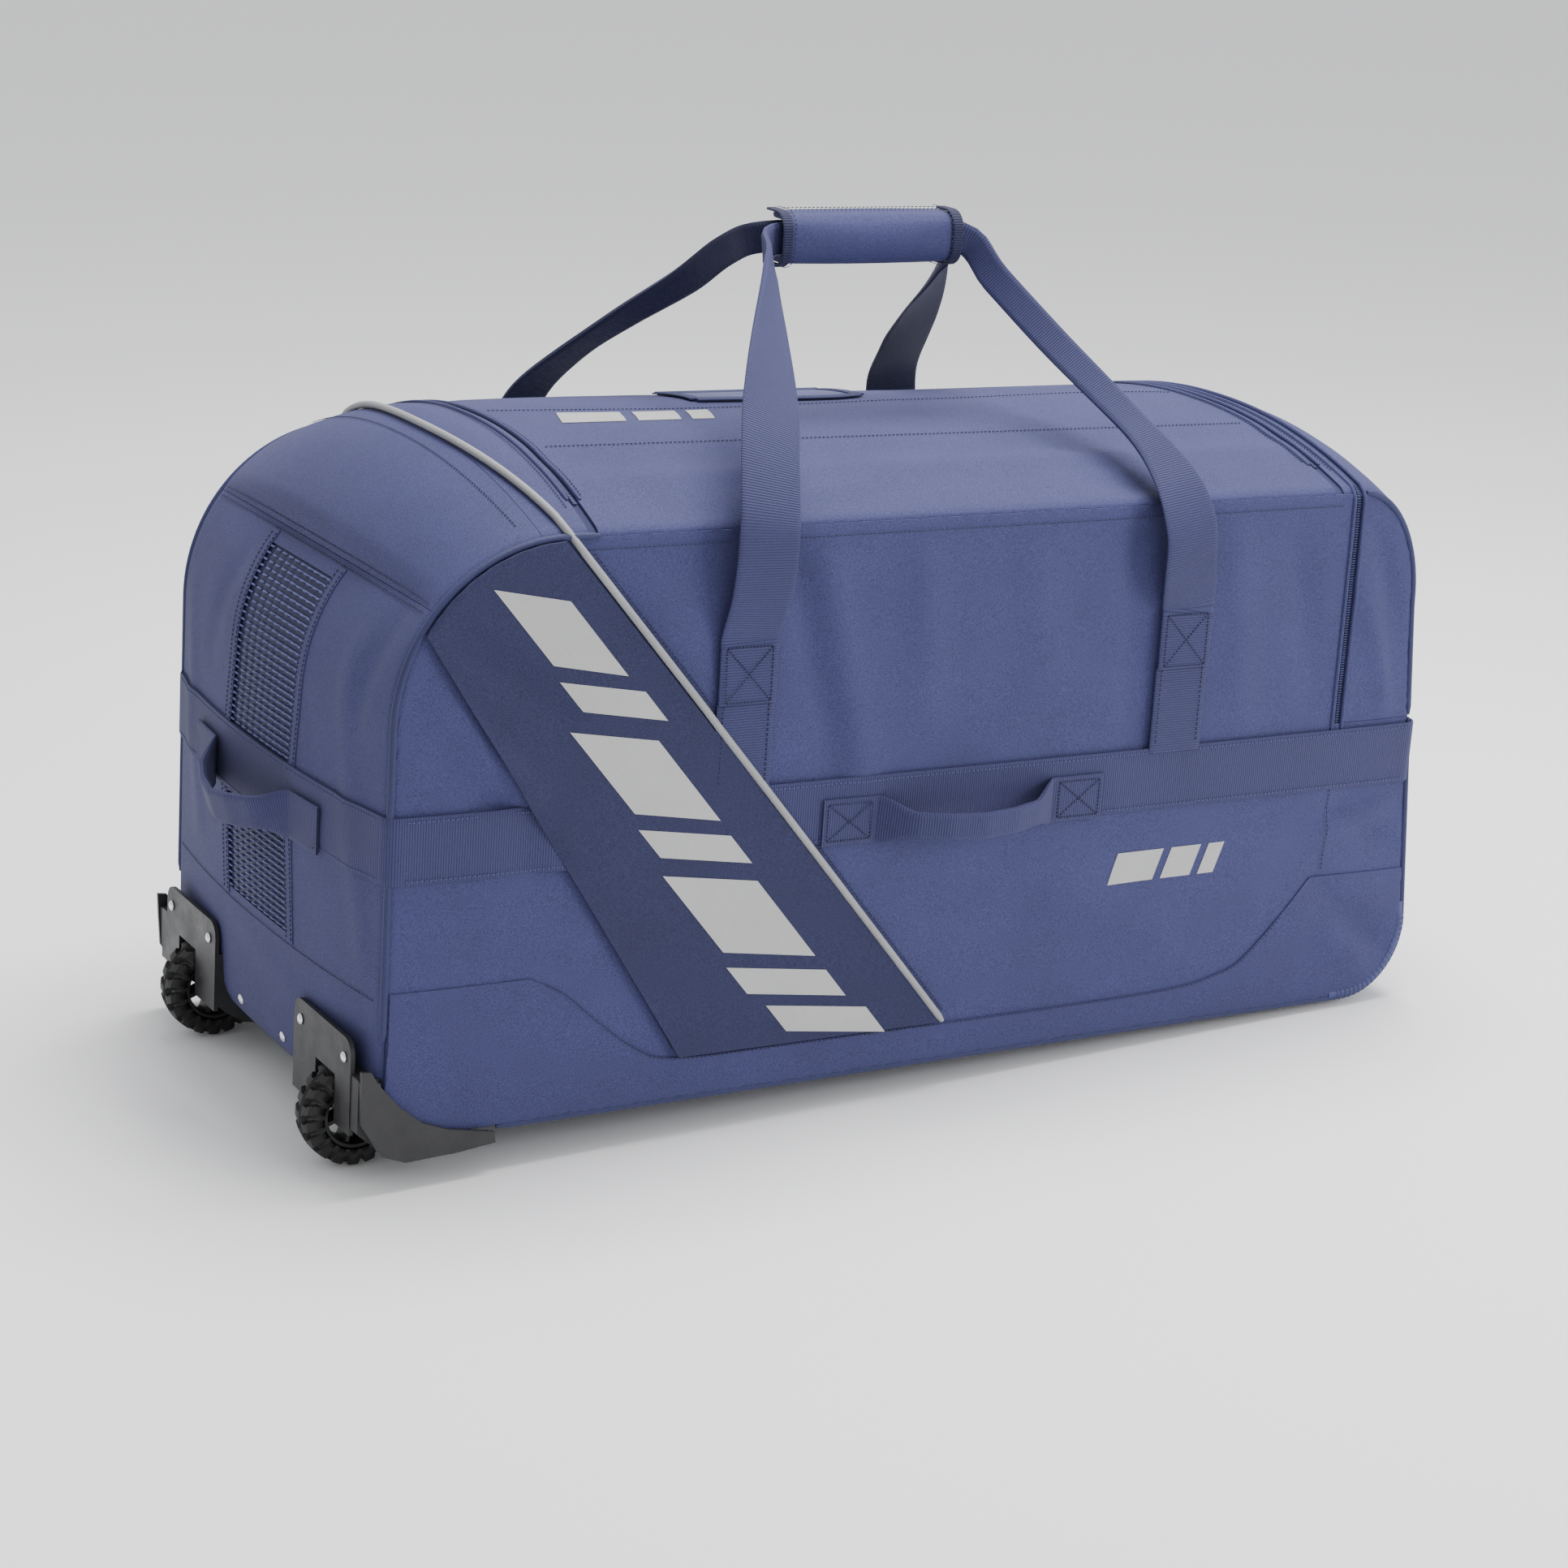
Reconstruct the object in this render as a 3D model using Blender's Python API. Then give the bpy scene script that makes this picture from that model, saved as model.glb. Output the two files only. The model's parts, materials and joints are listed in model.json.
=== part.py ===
"""Wheeled hockey equipment bag, 37 inch class.

The bag is drawn in its own axes: x runs from the wheel end (0) to the pulling end, y from the
front face (0) to the back face, z up from the bottom seam (0). The bag_frame empty then tilts
it so that it rests on its two wheels and on the two edge guards at the other end.
"""
import bpy
import bmesh
from math import cos, hypot, pi, radians, sin
from mathutils import Vector

for old in list(bpy.data.objects):
    bpy.data.objects.remove(old, do_unlink=True)

# ---------------------------------------------------------------- driving dimensions (metres)
BODY_LENGTH = 0.940
BODY_DEPTH = 0.431
BODY_HEIGHT = 0.461
WALL = 0.004
BOARD = 0.0035
FIT = 0.0004            # clearance between sewn or fitted neighbours
BOARD_GAP = 0.0012      # a stiffening board hangs this far inside the cloth
CLOTH = 0.0014          # one more layer of cloth or webbing on a face

TOP_CROWN = 0.046
SHOULDER_CROWN = 0.022
SEAM_CROWN = 0.006
END_CROWN = 0.020
FOOT_CROWN = 0.008
PULL_END_CROWN = 0.016

SHOULDER_RX, SHOULDER_RZ = 0.135, 0.140
HEAD_RX, HEAD_RZ = 0.067, 0.100
HEEL_R = 0.035
TOE_RX, TOE_RZ = 0.060, 0.065
PULL_END_SET = 0.006    # how far the upper pulling end stands inside BODY_LENGTH
PULL_END_FLARE = 0.029  # how much further out its foot stands
TOE_RISE = 0.010

END_SEAM_DROP = 0.052   # the seam over the wheel end's vent, down from BODY_HEIGHT
SHOULDER_EDGE = 0.115   # where the shoulder panel meets the lid's border, at mid depth
BAND_LOW, BAND_WIDTH = 0.2045, 0.0525
PIPING_R = 0.0030

LID_LEFT = 0.1605
LID_RIGHT_MARGIN = 0.1005
LID_BACK_MARGIN = 0.038
ZIP_WIDTH = 0.0080
LID_HINGE_INSET, LID_HINGE_RISE = 0.003, 0.0015

POCKET_MARGIN = 0.077   # the end pocket's zip, in from BODY_LENGTH

VENT_WIDTH = 0.130
VENT_LOW, VENT_MARGIN = 0.120, 0.013

STRAP_WIDTH = 0.050
STRAP_THICK = 0.0020
STRAP_LEFT_X = 0.2875
STRAP_RIGHT_MARGIN = 0.2475
ANCHOR_DROP = 0.089     # top of the sewn strap anchors, down from BODY_HEIGHT
GRIP_LENGTH = 0.168
GRIP_SHIFT = 0.006      # the grip hangs a little towards the pulling end
GRIP_RISE = 0.1815      # the grip's middle, up from BODY_HEIGHT
GRIP_WIDE, GRIP_TALL = 0.034, 0.044
GRIP_PAD = 0.0045
FOLDED_WIDTH = 0.025
FOLDED_THICK = 0.0036
LOOP_SPREAD = 0.0072    # each loop's distance from the grip's middle
LOOP_LIFT = 0.0055      # the carry loops' hinge line, out from the face
LOOP_LEAD = 0.010       # a loop's foot stands straight up for this length
TWIST = 0.55            # share of a loop's leg over which it only begins to twist

HANDLE_WIDTH = 0.026
HANDLE_Z = 0.222
PEEL = 0.0125           # how far a grab handle has left the band where it starts to swing
PEEL_LENGTH = 0.011     # over this length
HANDLE_GAP = 0.0022     # along the handle, between its sewn end and its free part
HANDLE_SHIFT = 0.0025   # the side handles' middle, from midway between the straps
HANDLE_LENGTH = 0.164   # free length of a side handle
END_HANDLE_HALF = 0.079  # half the free length of an end handle
SEWN_MARGIN = 0.006     # a handle's sewn end is this much wider on each side
XBOX = 0.039
WINDOW_SIZE = (0.155, 0.068)
WINDOW_FROM_RIGHT, WINDOW_FROM_BACK = 0.4675, 0.137

WHEEL_RADIUS = 0.0415
WHEEL_WIDTH = 0.031
WHEEL_X, WHEEL_Z, WHEEL_Y = 0.006, 0.004, 0.0665
LUGS = 18
LUG_DEPTH = 0.0028
RIM_RADIUS = 0.0268
AXLE_RADIUS = 0.0040
AXLE_PLAY = 0.0003
SLOT_SIDE, SLOT_ROUND = 0.0035, 0.0032
HOUSING_LOW_Y, HOUSING_REACH = 0.018, 0.0635
PLATE_OVER_WELL = 0.0263
PLATE_X, PLATE_THICK = -0.0125, 0.0035
WELL_WALL = 0.004
FENDER_END = 0.095
RIVET_RADIUS, RIVET_HEIGHT = 0.0045, 0.0022
RIVET_DROP = 0.016      # the housing's rivets, down from the plate's top
RIVET_STEP = 0.0405     # the middle rivets, in from the housings

GUARD_THICK, GUARD_WIDTH = 0.006, 0.016
GUARD_TOP, GUARD_RUN = 0.094, 0.014

ACCENT_FOOT_Z = 0.0415
ACCENT_SHOULDER_X = 0.020
ACCENT_LEFT_FOOT_X = 0.249
PIPE_TOP_X = 0.135
PIPE_CLEAR = 0.00844    # the slanted piping passes this far from the side handle's sewn end
ACCENT_LIFT = 0.0026    # the accent panel lies over the band

# ---------------------------------------------------------------- derived
HEAD_X = BODY_LENGTH - PULL_END_SET
TOE_X = HEAD_X + PULL_END_FLARE
GUARD_FOOT_X = TOE_X - TOE_RX - GUARD_RUN
BASE_SEAM_X = GUARD_FOOT_X - 0.002
END_SEAM_Z = BODY_HEIGHT - END_SEAM_DROP
VENT_HIGH = END_SEAM_Z - VENT_MARGIN
BAND_TOP = BAND_LOW + BAND_WIDTH
FLAP_LOW = BAND_TOP + 0.005
LID_RIGHT = BODY_LENGTH - LID_RIGHT_MARGIN
LID_BACK = BODY_DEPTH - LID_BACK_MARGIN
POCKET_X = BODY_LENGTH - POCKET_MARGIN
GUSSET_Y0, GUSSET_Y1 = WALL + FIT, BODY_DEPTH - WALL - FIT
MID_Y = BODY_DEPTH / 2
STRAP_RIGHT_X = BODY_LENGTH - STRAP_RIGHT_MARGIN
STRAP_MID_X = (STRAP_LEFT_X + STRAP_RIGHT_X) / 2
ANCHOR_TOP = BODY_HEIGHT - ANCHOR_DROP
GRIP_Z = BODY_HEIGHT + GRIP_RISE
GRIP_LEFT = STRAP_MID_X + GRIP_SHIFT - GRIP_LENGTH / 2
GRIP_RIGHT = GRIP_LEFT + GRIP_LENGTH
HANDLE_START = STRAP_MID_X + HANDLE_SHIFT - HANDLE_LENGTH / 2
SEWN_LOW = HANDLE_Z - HANDLE_WIDTH / 2 - SEWN_MARGIN
SEWN_HIGH = HANDLE_Z + HANDLE_WIDTH / 2 + SEWN_MARGIN
VENT_Y0, VENT_Y1 = MID_Y - VENT_WIDTH / 2, MID_Y + VENT_WIDTH / 2
SLOT_RADIUS = WHEEL_RADIUS + SLOT_ROUND
WELL_RADIUS = SLOT_RADIUS + WELL_WALL
WELL_X, WELL_Z = WHEEL_X + WELL_RADIUS, WHEEL_Z + WELL_RADIUS
HOUSING_HIGH_Y = WHEEL_Y + HOUSING_REACH
PLATE_TOP = WELL_Z + PLATE_OVER_WELL

# ---------------------------------------------------------------- colours
FINISHES = {
    "cloth": ((0.115, 0.135, 0.32), 0.75, 0.0),
    "dark_cloth": ((0.075, 0.085, 0.24), 0.75, 0.0),
    "webbing": ((0.07, 0.085, 0.24), 0.65, 0.0),
    "piping": ((0.06, 0.07, 0.2), 0.6, 0.0),
    "grey_piping": ((0.36, 0.36, 0.36), 0.5, 0.0),
    "mesh": ((0.10, 0.12, 0.30), 0.6, 0.0),
    "board": ((0.05, 0.05, 0.05), 0.6, 0.0),
    "window": ((0.10, 0.11, 0.26), 0.25, 0.0),
    "zip": ((0.05, 0.06, 0.16), 0.5, 0.0),
    "plastic": ((0.045, 0.045, 0.045), 0.55, 0.0),
    "guard": ((0.09, 0.105, 0.24), 0.5, 0.0),
    "tread": ((0.015, 0.015, 0.015), 0.7, 0.0),
    "steel": ((0.75, 0.75, 0.76), 0.25, 1.0),
}


def finish(node, name):
    colour, roughness, metallic = FINISHES[name]
    material = bpy.data.materials.new(node + "_" + name)
    material.use_nodes = True
    shader = material.node_tree.nodes["Principled BSDF"]
    shader.inputs["Base Color"].default_value = (*colour, 1.0)
    shader.inputs["Roughness"].default_value = roughness
    shader.inputs["Metallic"].default_value = metallic
    return material


# ---------------------------------------------------------------- mesh helpers
bag_frame = bpy.data.objects.new("bag_frame", None)
bpy.context.scene.collection.objects.link(bag_frame)


def face_outward(bm):
    bmesh.ops.recalc_face_normals(bm, faces=bm.faces)
    if bm.calc_volume(signed=True) < 0:
        bmesh.ops.reverse_faces(bm, faces=bm.faces)


def place(name, bm, look, pivot=(0.0, 0.0, 0.0), smooth=None):
    """Turn a bmesh drawn in bag axes into a node whose origin is at pivot."""
    face_outward(bm)
    bmesh.ops.translate(bm, vec=-Vector(pivot), verts=bm.verts)
    mesh = bpy.data.meshes.new(name)
    bm.to_mesh(mesh)
    bm.free()
    obj = bpy.data.objects.new(name, mesh)
    bpy.context.scene.collection.objects.link(obj)
    obj.parent = bag_frame
    obj.location = pivot
    mesh.materials.append(finish(name, look))
    if smooth:
        mesh.shade_smooth()
        mesh.set_sharp_from_angle(angle=radians(smooth))
    return obj


def boolean(obj, bm, operation):
    """Join or cut obj with a shape drawn in bag axes, which stays behind as a hidden guide."""
    face_outward(bm)
    mesh = bpy.data.meshes.new(obj.name + "_guide")
    bm.to_mesh(mesh)
    bm.free()
    guide = bpy.data.objects.new(obj.name + "_guide", mesh)
    bpy.context.scene.collection.objects.link(guide)
    guide.parent = bag_frame
    guide.hide_render = True
    guide.display_type = "WIRE"
    modifier = obj.modifiers.new(operation.lower(), "BOOLEAN")
    modifier.object = guide
    modifier.operation = operation
    modifier.solver = "EXACT"


def stack(rows, closed=False, capped=True):
    """A skin through equal rows of points; each row is a closed loop."""
    bm = bmesh.new()
    loops = [[bm.verts.new(p) for p in row] for row in rows]
    pairs = list(zip(loops, loops[1:]))
    if closed:
        pairs.append((loops[-1], loops[0]))
    for lower, upper in pairs:
        for i in range(len(lower)):
            j = (i + 1) % len(lower)
            bm.faces.new((lower[i], lower[j], upper[j], upper[i]))
    if capped and not closed:
        bm.faces.new(loops[0])
        bm.faces.new(reversed(loops[-1]))
    return bm


def prism(outline, axis, low, high):
    """Extrude a flat outline along x, y or z; the outline gives the other two coordinates."""
    def lift(point, level):
        full = list(point)
        full.insert("xyz".index(axis), level)
        return tuple(full)
    return stack([[lift(p, low) for p in outline], [lift(p, high) for p in outline]])


def merge(*shapes):
    """Several separate closed shapes in one bmesh, for use as one guide."""
    whole = bmesh.new()
    for shape in shapes:
        mesh = bpy.data.meshes.new("part")
        shape.to_mesh(mesh)
        shape.free()
        whole.from_mesh(mesh)
        bpy.data.meshes.remove(mesh)
    return whole


def arc(centre, radii, start, end, steps):
    """Points on an ellipse's arc in a plane, angles in degrees."""
    points = []
    for i in range(steps + 1):
        a = radians(start + (end - start) * i / steps)
        points.append((centre[0] + radii[0] * cos(a), centre[1] + radii[1] * sin(a)))
    return points


def rod(axis, centre, radius, low, high, segments=20):
    circle = arc(centre, (radius, radius), 0, 360 - 360 / segments, segments - 1)
    return prism(circle, axis, low, high)


def sheet(outer, inner, holes=()):
    """A closed sheet between two equal grids of points, less the cells named in holes.

    Every cell is split along the same diagonal, so sheets on the same grid lie flat together.
    """
    bm = bmesh.new()
    rows, columns = len(outer) - 1, len(outer[0]) - 1
    filled = {(i, j) for i in range(rows) for j in range(columns)} - set(holes)
    corners = {(i + a, j + b) for i, j in filled for a in (0, 1) for b in (0, 1)}
    top = {k: bm.verts.new(outer[k[0]][k[1]]) for k in sorted(corners)}
    bottom = {k: bm.verts.new(inner[k[0]][k[1]]) for k in sorted(corners)}
    for i, j in sorted(filled):
        ring = [(i, j), (i + 1, j), (i + 1, j + 1), (i, j + 1)]
        for half in (ring[:3], [ring[0]] + ring[2:]):
            bm.faces.new([top[k] for k in half])
            bm.faces.new([bottom[k] for k in reversed(half)])
        beyond = [(i, j - 1), (i + 1, j), (i, j + 1), (i - 1, j)]
        for n, cell in enumerate(beyond):
            if cell not in filled:
                a, b = ring[n], ring[(n + 1) % 4]
                bm.faces.new((top[b], top[a], bottom[a], bottom[b]))
    return bm


def smooth_path(points, per_span):
    """A Catmull-Rom curve through the points."""
    points = [Vector(p) for p in points]
    padded = [2 * points[0] - points[1]] + points + [2 * points[-1] - points[-2]]
    result = []
    for a, b, c, d in zip(padded, padded[1:], padded[2:], padded[3:]):
        for n in range(per_span):
            t = n / per_span
            result.append(0.5 * (2 * b + (c - a) * t + (2 * a - 5 * b + 4 * c - d) * t * t
                                 + (3 * b - a - 3 * c + d) * t ** 3))
    result.append(points[-1])
    return result


def ribbon(path, across, widths, thicknesses):
    """A flat strap along a path; across says which way its width points at each path point."""
    rows = []
    for i, point in enumerate(path):
        along = (path[min(i + 1, len(path) - 1)] - path[max(i - 1, 0)]).normalized()
        side = (across[i] - along * across[i].dot(along)).normalized()
        up = along.cross(side)
        w, t = side * widths[i] / 2, up * thicknesses[i] / 2
        rows.append([point - w - t, point + w - t, point + w + t, point - w + t])
    return stack(rows)


def blend(stations, steps):
    """Evenly read values out of a short list, straight between its entries."""
    values = []
    for i in range(steps):
        t = (len(stations) - 1) * i / (steps - 1)
        n = min(int(t), len(stations) - 2)
        values.append(stations[n] * (1 - (t - n)) + stations[n + 1] * (t - n))
    return values


def tube(path, radius, segments=8, flat_across=Vector((0, 1, 0))):
    rows = []
    for i, point in enumerate(path):
        along = (path[min(i + 1, len(path) - 1)] - path[max(i - 1, 0)]).normalized()
        side = (flat_across - along * flat_across.dot(along)).normalized()
        up = along.cross(side)
        rows.append([point + (side * cos(2 * pi * k / segments)
                              + up * sin(2 * pi * k / segments)) * radius
                     for k in range(segments)])
    return stack(rows)


# ---------------------------------------------------------------- the bag's side outline
def side_outline():
    """(x, z) points clockwise from the heel: wheel end, shoulder, top, pulling end, bottom."""
    points = arc((HEEL_R, HEEL_R), (HEEL_R, HEEL_R), 270, 180, 4)
    points += arc((SHOULDER_RX, BODY_HEIGHT - SHOULDER_RZ), (SHOULDER_RX, SHOULDER_RZ), 180, 90, 8)
    points += arc((HEAD_X - HEAD_RX, BODY_HEIGHT - HEAD_RZ), (HEAD_RX, HEAD_RZ), 90, 0, 6)
    points += arc((TOE_X - TOE_RX, TOE_RISE + TOE_RZ), (TOE_RX, TOE_RZ), 0, -90, 6)
    return points


OUTLINE = side_outline()
LENGTHS = [0.0]
for here, there in zip(OUTLINE, OUTLINE[1:] + OUTLINE[:1]):
    LENGTHS.append(LENGTHS[-1] + hypot(there[0] - here[0], there[1] - here[1]))
ROUND = LENGTHS[-1]
STRAIGHT = 0.05         # a stretch of the outline longer than this is flat, not part of a bend


def outline_at(s):
    """Point and outward normal at a distance s along the outline."""
    s = s % ROUND
    n = max(i for i, length in enumerate(LENGTHS[:-1]) if length <= s + 1e-9)
    a, b = OUTLINE[n], OUTLINE[(n + 1) % len(OUTLINE)]
    t = (s - LENGTHS[n]) / (LENGTHS[n + 1] - LENGTHS[n])

    def facing(m):
        p, q = OUTLINE[m % len(OUTLINE)], OUTLINE[(m + 1) % len(OUTLINE)]
        return Vector((p[1] - q[1], q[0] - p[0])).normalized()
    if LENGTHS[n + 1] - LENGTHS[n] > STRAIGHT and 1e-6 < t < 1 - 1e-6:
        return a[0] + (b[0] - a[0]) * t, a[1] + (b[1] - a[1]) * t, facing(n)
    first = (facing(n - 1) + facing(n)).normalized()
    second = (facing(n) + facing(n + 1)).normalized()
    normal = first.lerp(second, t).normalized()
    return a[0] + (b[0] - a[0]) * t, a[1] + (b[1] - a[1]) * t, normal


def where(axis, value, low, high):
    """Distance along the outline, between corners low and high, where x or z has a value."""
    k = "xz".index(axis)
    for n in range(low, high):
        a, b = OUTLINE[n % len(OUTLINE)][k], OUTLINE[(n + 1) % len(OUTLINE)][k]
        if min(a, b) <= value <= max(a, b) and a != b:
            return LENGTHS[n] + (LENGTHS[n + 1] - LENGTHS[n]) * (value - a) / (b - a)
    raise ValueError("the outline never reaches %s = %s" % (axis, value))


HEEL, SHOULDER, HEAD, TOE, LAST = 0, 5, 14, 21, len(OUTLINE)


def at_wheel_end(z):
    return where("z", z, HEEL, HEAD - 1)


def on_top(x):
    return where("x", x, SHOULDER, TOE)


def at_pulling_end(z):
    return where("z", z, HEAD, LAST - 1)


def on_bottom(x):
    return where("x", x, TOE + 1, LAST)


CROWN_STATIONS = [
    (0.0, 0.0), (LENGTHS[2], FOOT_CROWN), (at_wheel_end(0.10), 0.7 * END_CROWN),
    (at_wheel_end(HANDLE_Z), END_CROWN),
    (at_wheel_end(END_SEAM_Z), SEAM_CROWN), (on_top(0.04), SHOULDER_CROWN),
    (on_top(SHOULDER_RX), TOP_CROWN), (on_top(HEAD_X - HEAD_RX), TOP_CROWN * 0.85),
    (at_pulling_end(BODY_HEIGHT - HEAD_RZ), PULL_END_CROWN),
    (at_pulling_end(TOE_RZ + TOE_RISE), PULL_END_CROWN * 0.7), (LENGTHS[TOE + 6], 0.0),
    (ROUND, 0.0)]


def crown(s, y):
    """How far the cloth stands out of the outline, most at mid depth."""
    s = s % ROUND
    across = 2 * (y - MID_Y) / BODY_DEPTH
    for (s0, c0), (s1, c1) in zip(CROWN_STATIONS, CROWN_STATIONS[1:]):
        if s0 <= s <= s1:
            return (c0 + (c1 - c0) * (s - s0) / (s1 - s0)) * (1 - across * across)
    return 0.0


def on_skin(s, y, offset):
    x, z, normal = outline_at(s)
    out = offset + crown(s, y)
    return (x + normal.x * out, y, z + normal.y * out)


def stations(start, stop, extra=()):
    """Outline distances from start to stop through every corner point and extra cut between."""
    if stop < start:
        stop += ROUND
    inner = [length for length in LENGTHS[:-1] + [ROUND + l for l in LENGTHS]]
    inner = [v for v in inner + list(extra) if start + 1e-4 < v < stop - 1e-4]
    return [start] + sorted(inner) + [stop]


def depth_rows(low, high, count, extra=()):
    rows = {round(low + (high - low) * i / count, 6) for i in range(count + 1)}
    rows = {r for r in rows if all(abs(r - e) > 0.004 for e in extra)} | set(extra) | {low, high}
    return sorted(r for r in rows if low - 1e-9 <= r <= high + 1e-9)


def skin(ss, ys, offset, thickness, is_hole=lambda s, y: False):
    """A piece of the wrap-around cloth: outline distances ss by depths ys."""
    outer = [[on_skin(s, y, offset) for y in ys] for s in ss]
    inner = [[on_skin(s, y, offset - thickness) for y in ys] for s in ss]
    holes = [(i, j) for i in range(len(ss) - 1) for j in range(len(ys) - 1)
             if is_hole((ss[i] + ss[i + 1]) / 2, (ys[j] + ys[j + 1]) / 2)]
    return sheet(outer, inner, holes)


def side_polygon(start, stop, inset=0.0):
    """The outline's points from start to stop, moved in by inset."""
    points = []
    for s in stations(start, stop):
        x, z, normal = outline_at(s)
        points.append((x - normal.x * inset, z - normal.y * inset))
    return points


def face_prism(name, polygon, lift, thickness, look, back, smooth=None):
    """A flat piece on the front face, or mirrored onto the back face."""
    if back:
        low, high = BODY_DEPTH + lift, BODY_DEPTH + lift + thickness
    else:
        low, high = -lift - thickness, -lift
    return place(name, prism(polygon, "y", low, high), look, smooth=smooth)


# ---------------------------------------------------------------- shell
def make_side_panels():
    left = POCKET_X - ZIP_WIDTH / 2 - FIT
    polygon = side_polygon(at_pulling_end(FLAP_LOW - FIT), on_top(left) + ROUND)
    polygon.append((left, FLAP_LOW - FIT))
    for name, back in (("front_panel", False), ("back_panel", True)):
        face_prism(name, polygon, -WALL, WALL, "cloth", back)


def in_well(y):
    low, high = GUSSET_Y0, HOUSING_HIGH_Y + FIT
    return low < y < high or low < BODY_DEPTH - y < high


def well_cuts():
    near = HOUSING_HIGH_Y + FIT
    return near, BODY_DEPTH - near


def end_rows():
    """Depths shared by every sheet on the two ends, so that they lie evenly on each other."""
    handle = (MID_Y - END_HANDLE_HALF, MID_Y + END_HANDLE_HALF)
    return depth_rows(GUSSET_Y0, GUSSET_Y1, 8, well_cuts() + (VENT_Y0, VENT_Y1) + handle)


def band_stations(at):
    return sorted((at(BAND_LOW), at(HANDLE_Z), at(BAND_TOP)))


def make_wheel_end():
    well, seam = at_wheel_end(WELL_Z + FIT), at_wheel_end(END_SEAM_Z)
    low, high = at_wheel_end(VENT_LOW), at_wheel_end(VENT_HIGH)
    heel = LENGTHS[1]
    ss = stations(heel, seam, [well, low, high] + band_stations(at_wheel_end))
    ys = end_rows()

    def is_hole(s, y):
        return (s < well and in_well(y)) or (low < s < high and VENT_Y0 < y < VENT_Y1)
    place("wheel_end_panel", skin(ss, ys, 0.0, WALL, is_hole), "cloth", smooth=40)

    ss = stations(low + FIT, high - FIT, band_stations(at_wheel_end))
    ys = depth_rows(VENT_Y0 + FIT, VENT_Y1 - FIT, 4)
    place("vent_mesh", skin(ss, ys, -0.001, 0.0016), "mesh", smooth=40)

    board_low, board_high = at_wheel_end(WELL_Z + 0.004), at_wheel_end(VENT_LOW - 0.004)
    ys = [GUSSET_Y0 + 0.006] + end_rows()[1:-1] + [GUSSET_Y1 - 0.006]
    board = skin(stations(board_low, board_high), ys, -WALL - BOARD_GAP, BOARD)
    place("wheel_end_board", board, "board", smooth=40)


def make_bottom():
    well = on_bottom(WELL_X + FIT)
    ss = stations(on_bottom(BASE_SEAM_X) + FIT, LENGTHS[1] + ROUND - FIT, (well,))
    ys = depth_rows(GUSSET_Y0, GUSSET_Y1, 2, well_cuts())
    bottom = skin(ss, ys, 0.0, WALL, lambda s, y: s > well and in_well(y))
    place("bottom_panel", bottom, "dark_cloth")

    ss = stations(on_bottom(BASE_SEAM_X) + 0.004, well - 0.004)
    ys = depth_rows(GUSSET_Y0 + 0.006, GUSSET_Y1 - 0.006, 2)
    place("base_board", skin(ss, ys, -WALL - BOARD_GAP, BOARD), "board")


def make_shoulder():
    ss = stations(at_wheel_end(END_SEAM_Z) + FIT, on_top(SHOULDER_EDGE))
    ys = depth_rows(GUSSET_Y0, GUSSET_Y1, 8)
    place("shoulder_panel", skin(ss, ys, 0.0, WALL), "cloth", smooth=40)


def make_top_border():
    """The cloth frame round the lid, sewn in one piece: left side, back and right side."""
    left, right = LID_LEFT - ZIP_WIDTH - FIT, LID_RIGHT + ZIP_WIDTH + FIT
    back = LID_BACK + ZIP_WIDTH + FIT
    s_left, s_right = on_top(left), on_top(right)
    ss = stations(on_top(SHOULDER_EDGE + FIT), on_top(POCKET_X - ZIP_WIDTH / 2 - FIT),
                  (s_left, s_right))
    ys = depth_rows(GUSSET_Y0, GUSSET_Y1, 8, (back,))
    border = skin(ss, ys, 0.0, WALL, lambda s, y: s_left < s < s_right and y < back)
    place("top_border", border, "cloth", smooth=40)


def make_lid_zip():
    s0, s1 = on_top(LID_LEFT - ZIP_WIDTH), on_top(LID_RIGHT + ZIP_WIDTH)
    s_left, s_right = on_top(LID_LEFT - FIT), on_top(LID_RIGHT + FIT)
    back = LID_BACK + FIT
    ys = depth_rows(GUSSET_Y0 + 0.03, LID_BACK + ZIP_WIDTH, 8, (back,))
    ss = stations(s0, s1, (s_left, s_right))
    strip = skin(ss, ys, -0.0006, 0.0024, lambda s, y: s_left < s < s_right and y < back)
    place("lid_zip", strip, "zip", smooth=40)


LID_PIVOT = (LID_LEFT, LID_HINGE_INSET, BODY_HEIGHT + LID_HINGE_RISE)


def make_lid():
    ys = depth_rows(GUSSET_Y0 + FIT, LID_BACK, 8)
    ss = stations(on_top(LID_LEFT), on_top(LID_RIGHT))
    place("lid_panel", skin(ss, ys, 0.0, WALL), "cloth", LID_PIVOT, smooth=40)
    window_x, window_y = LID_RIGHT - WINDOW_FROM_RIGHT, LID_BACK - WINDOW_FROM_BACK
    width, depth = WINDOW_SIZE
    ss = stations(on_top(window_x), on_top(window_x + width))
    ys = depth_rows(window_y, window_y + depth, 3)
    pocket = skin(ss, ys, FIT + 0.0020, 0.0020)
    place("id_window", pocket, "window", LID_PIVOT, smooth=40)


def make_pulling_end():
    seam = at_pulling_end(FLAP_LOW - FIT)
    ss = stations(seam, on_bottom(BASE_SEAM_X), band_stations(at_pulling_end))
    lower = skin(ss, end_rows(), 0.0, WALL)
    place("pulling_end_panel", lower, "cloth", smooth=40)

    y0, y1 = GUSSET_Y0 + 0.002, GUSSET_Y1 - 0.002
    z0, z1 = TOE_RISE + 0.010, BODY_HEIGHT - 0.008
    x = POCKET_X - ZIP_WIDTH - 0.004
    divider = [(y0, z0), (y1, z0), (y1, z1), (y0, z1)]
    place("pocket_divider", prism(divider, "x", x - 0.002, x), "cloth")


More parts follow.
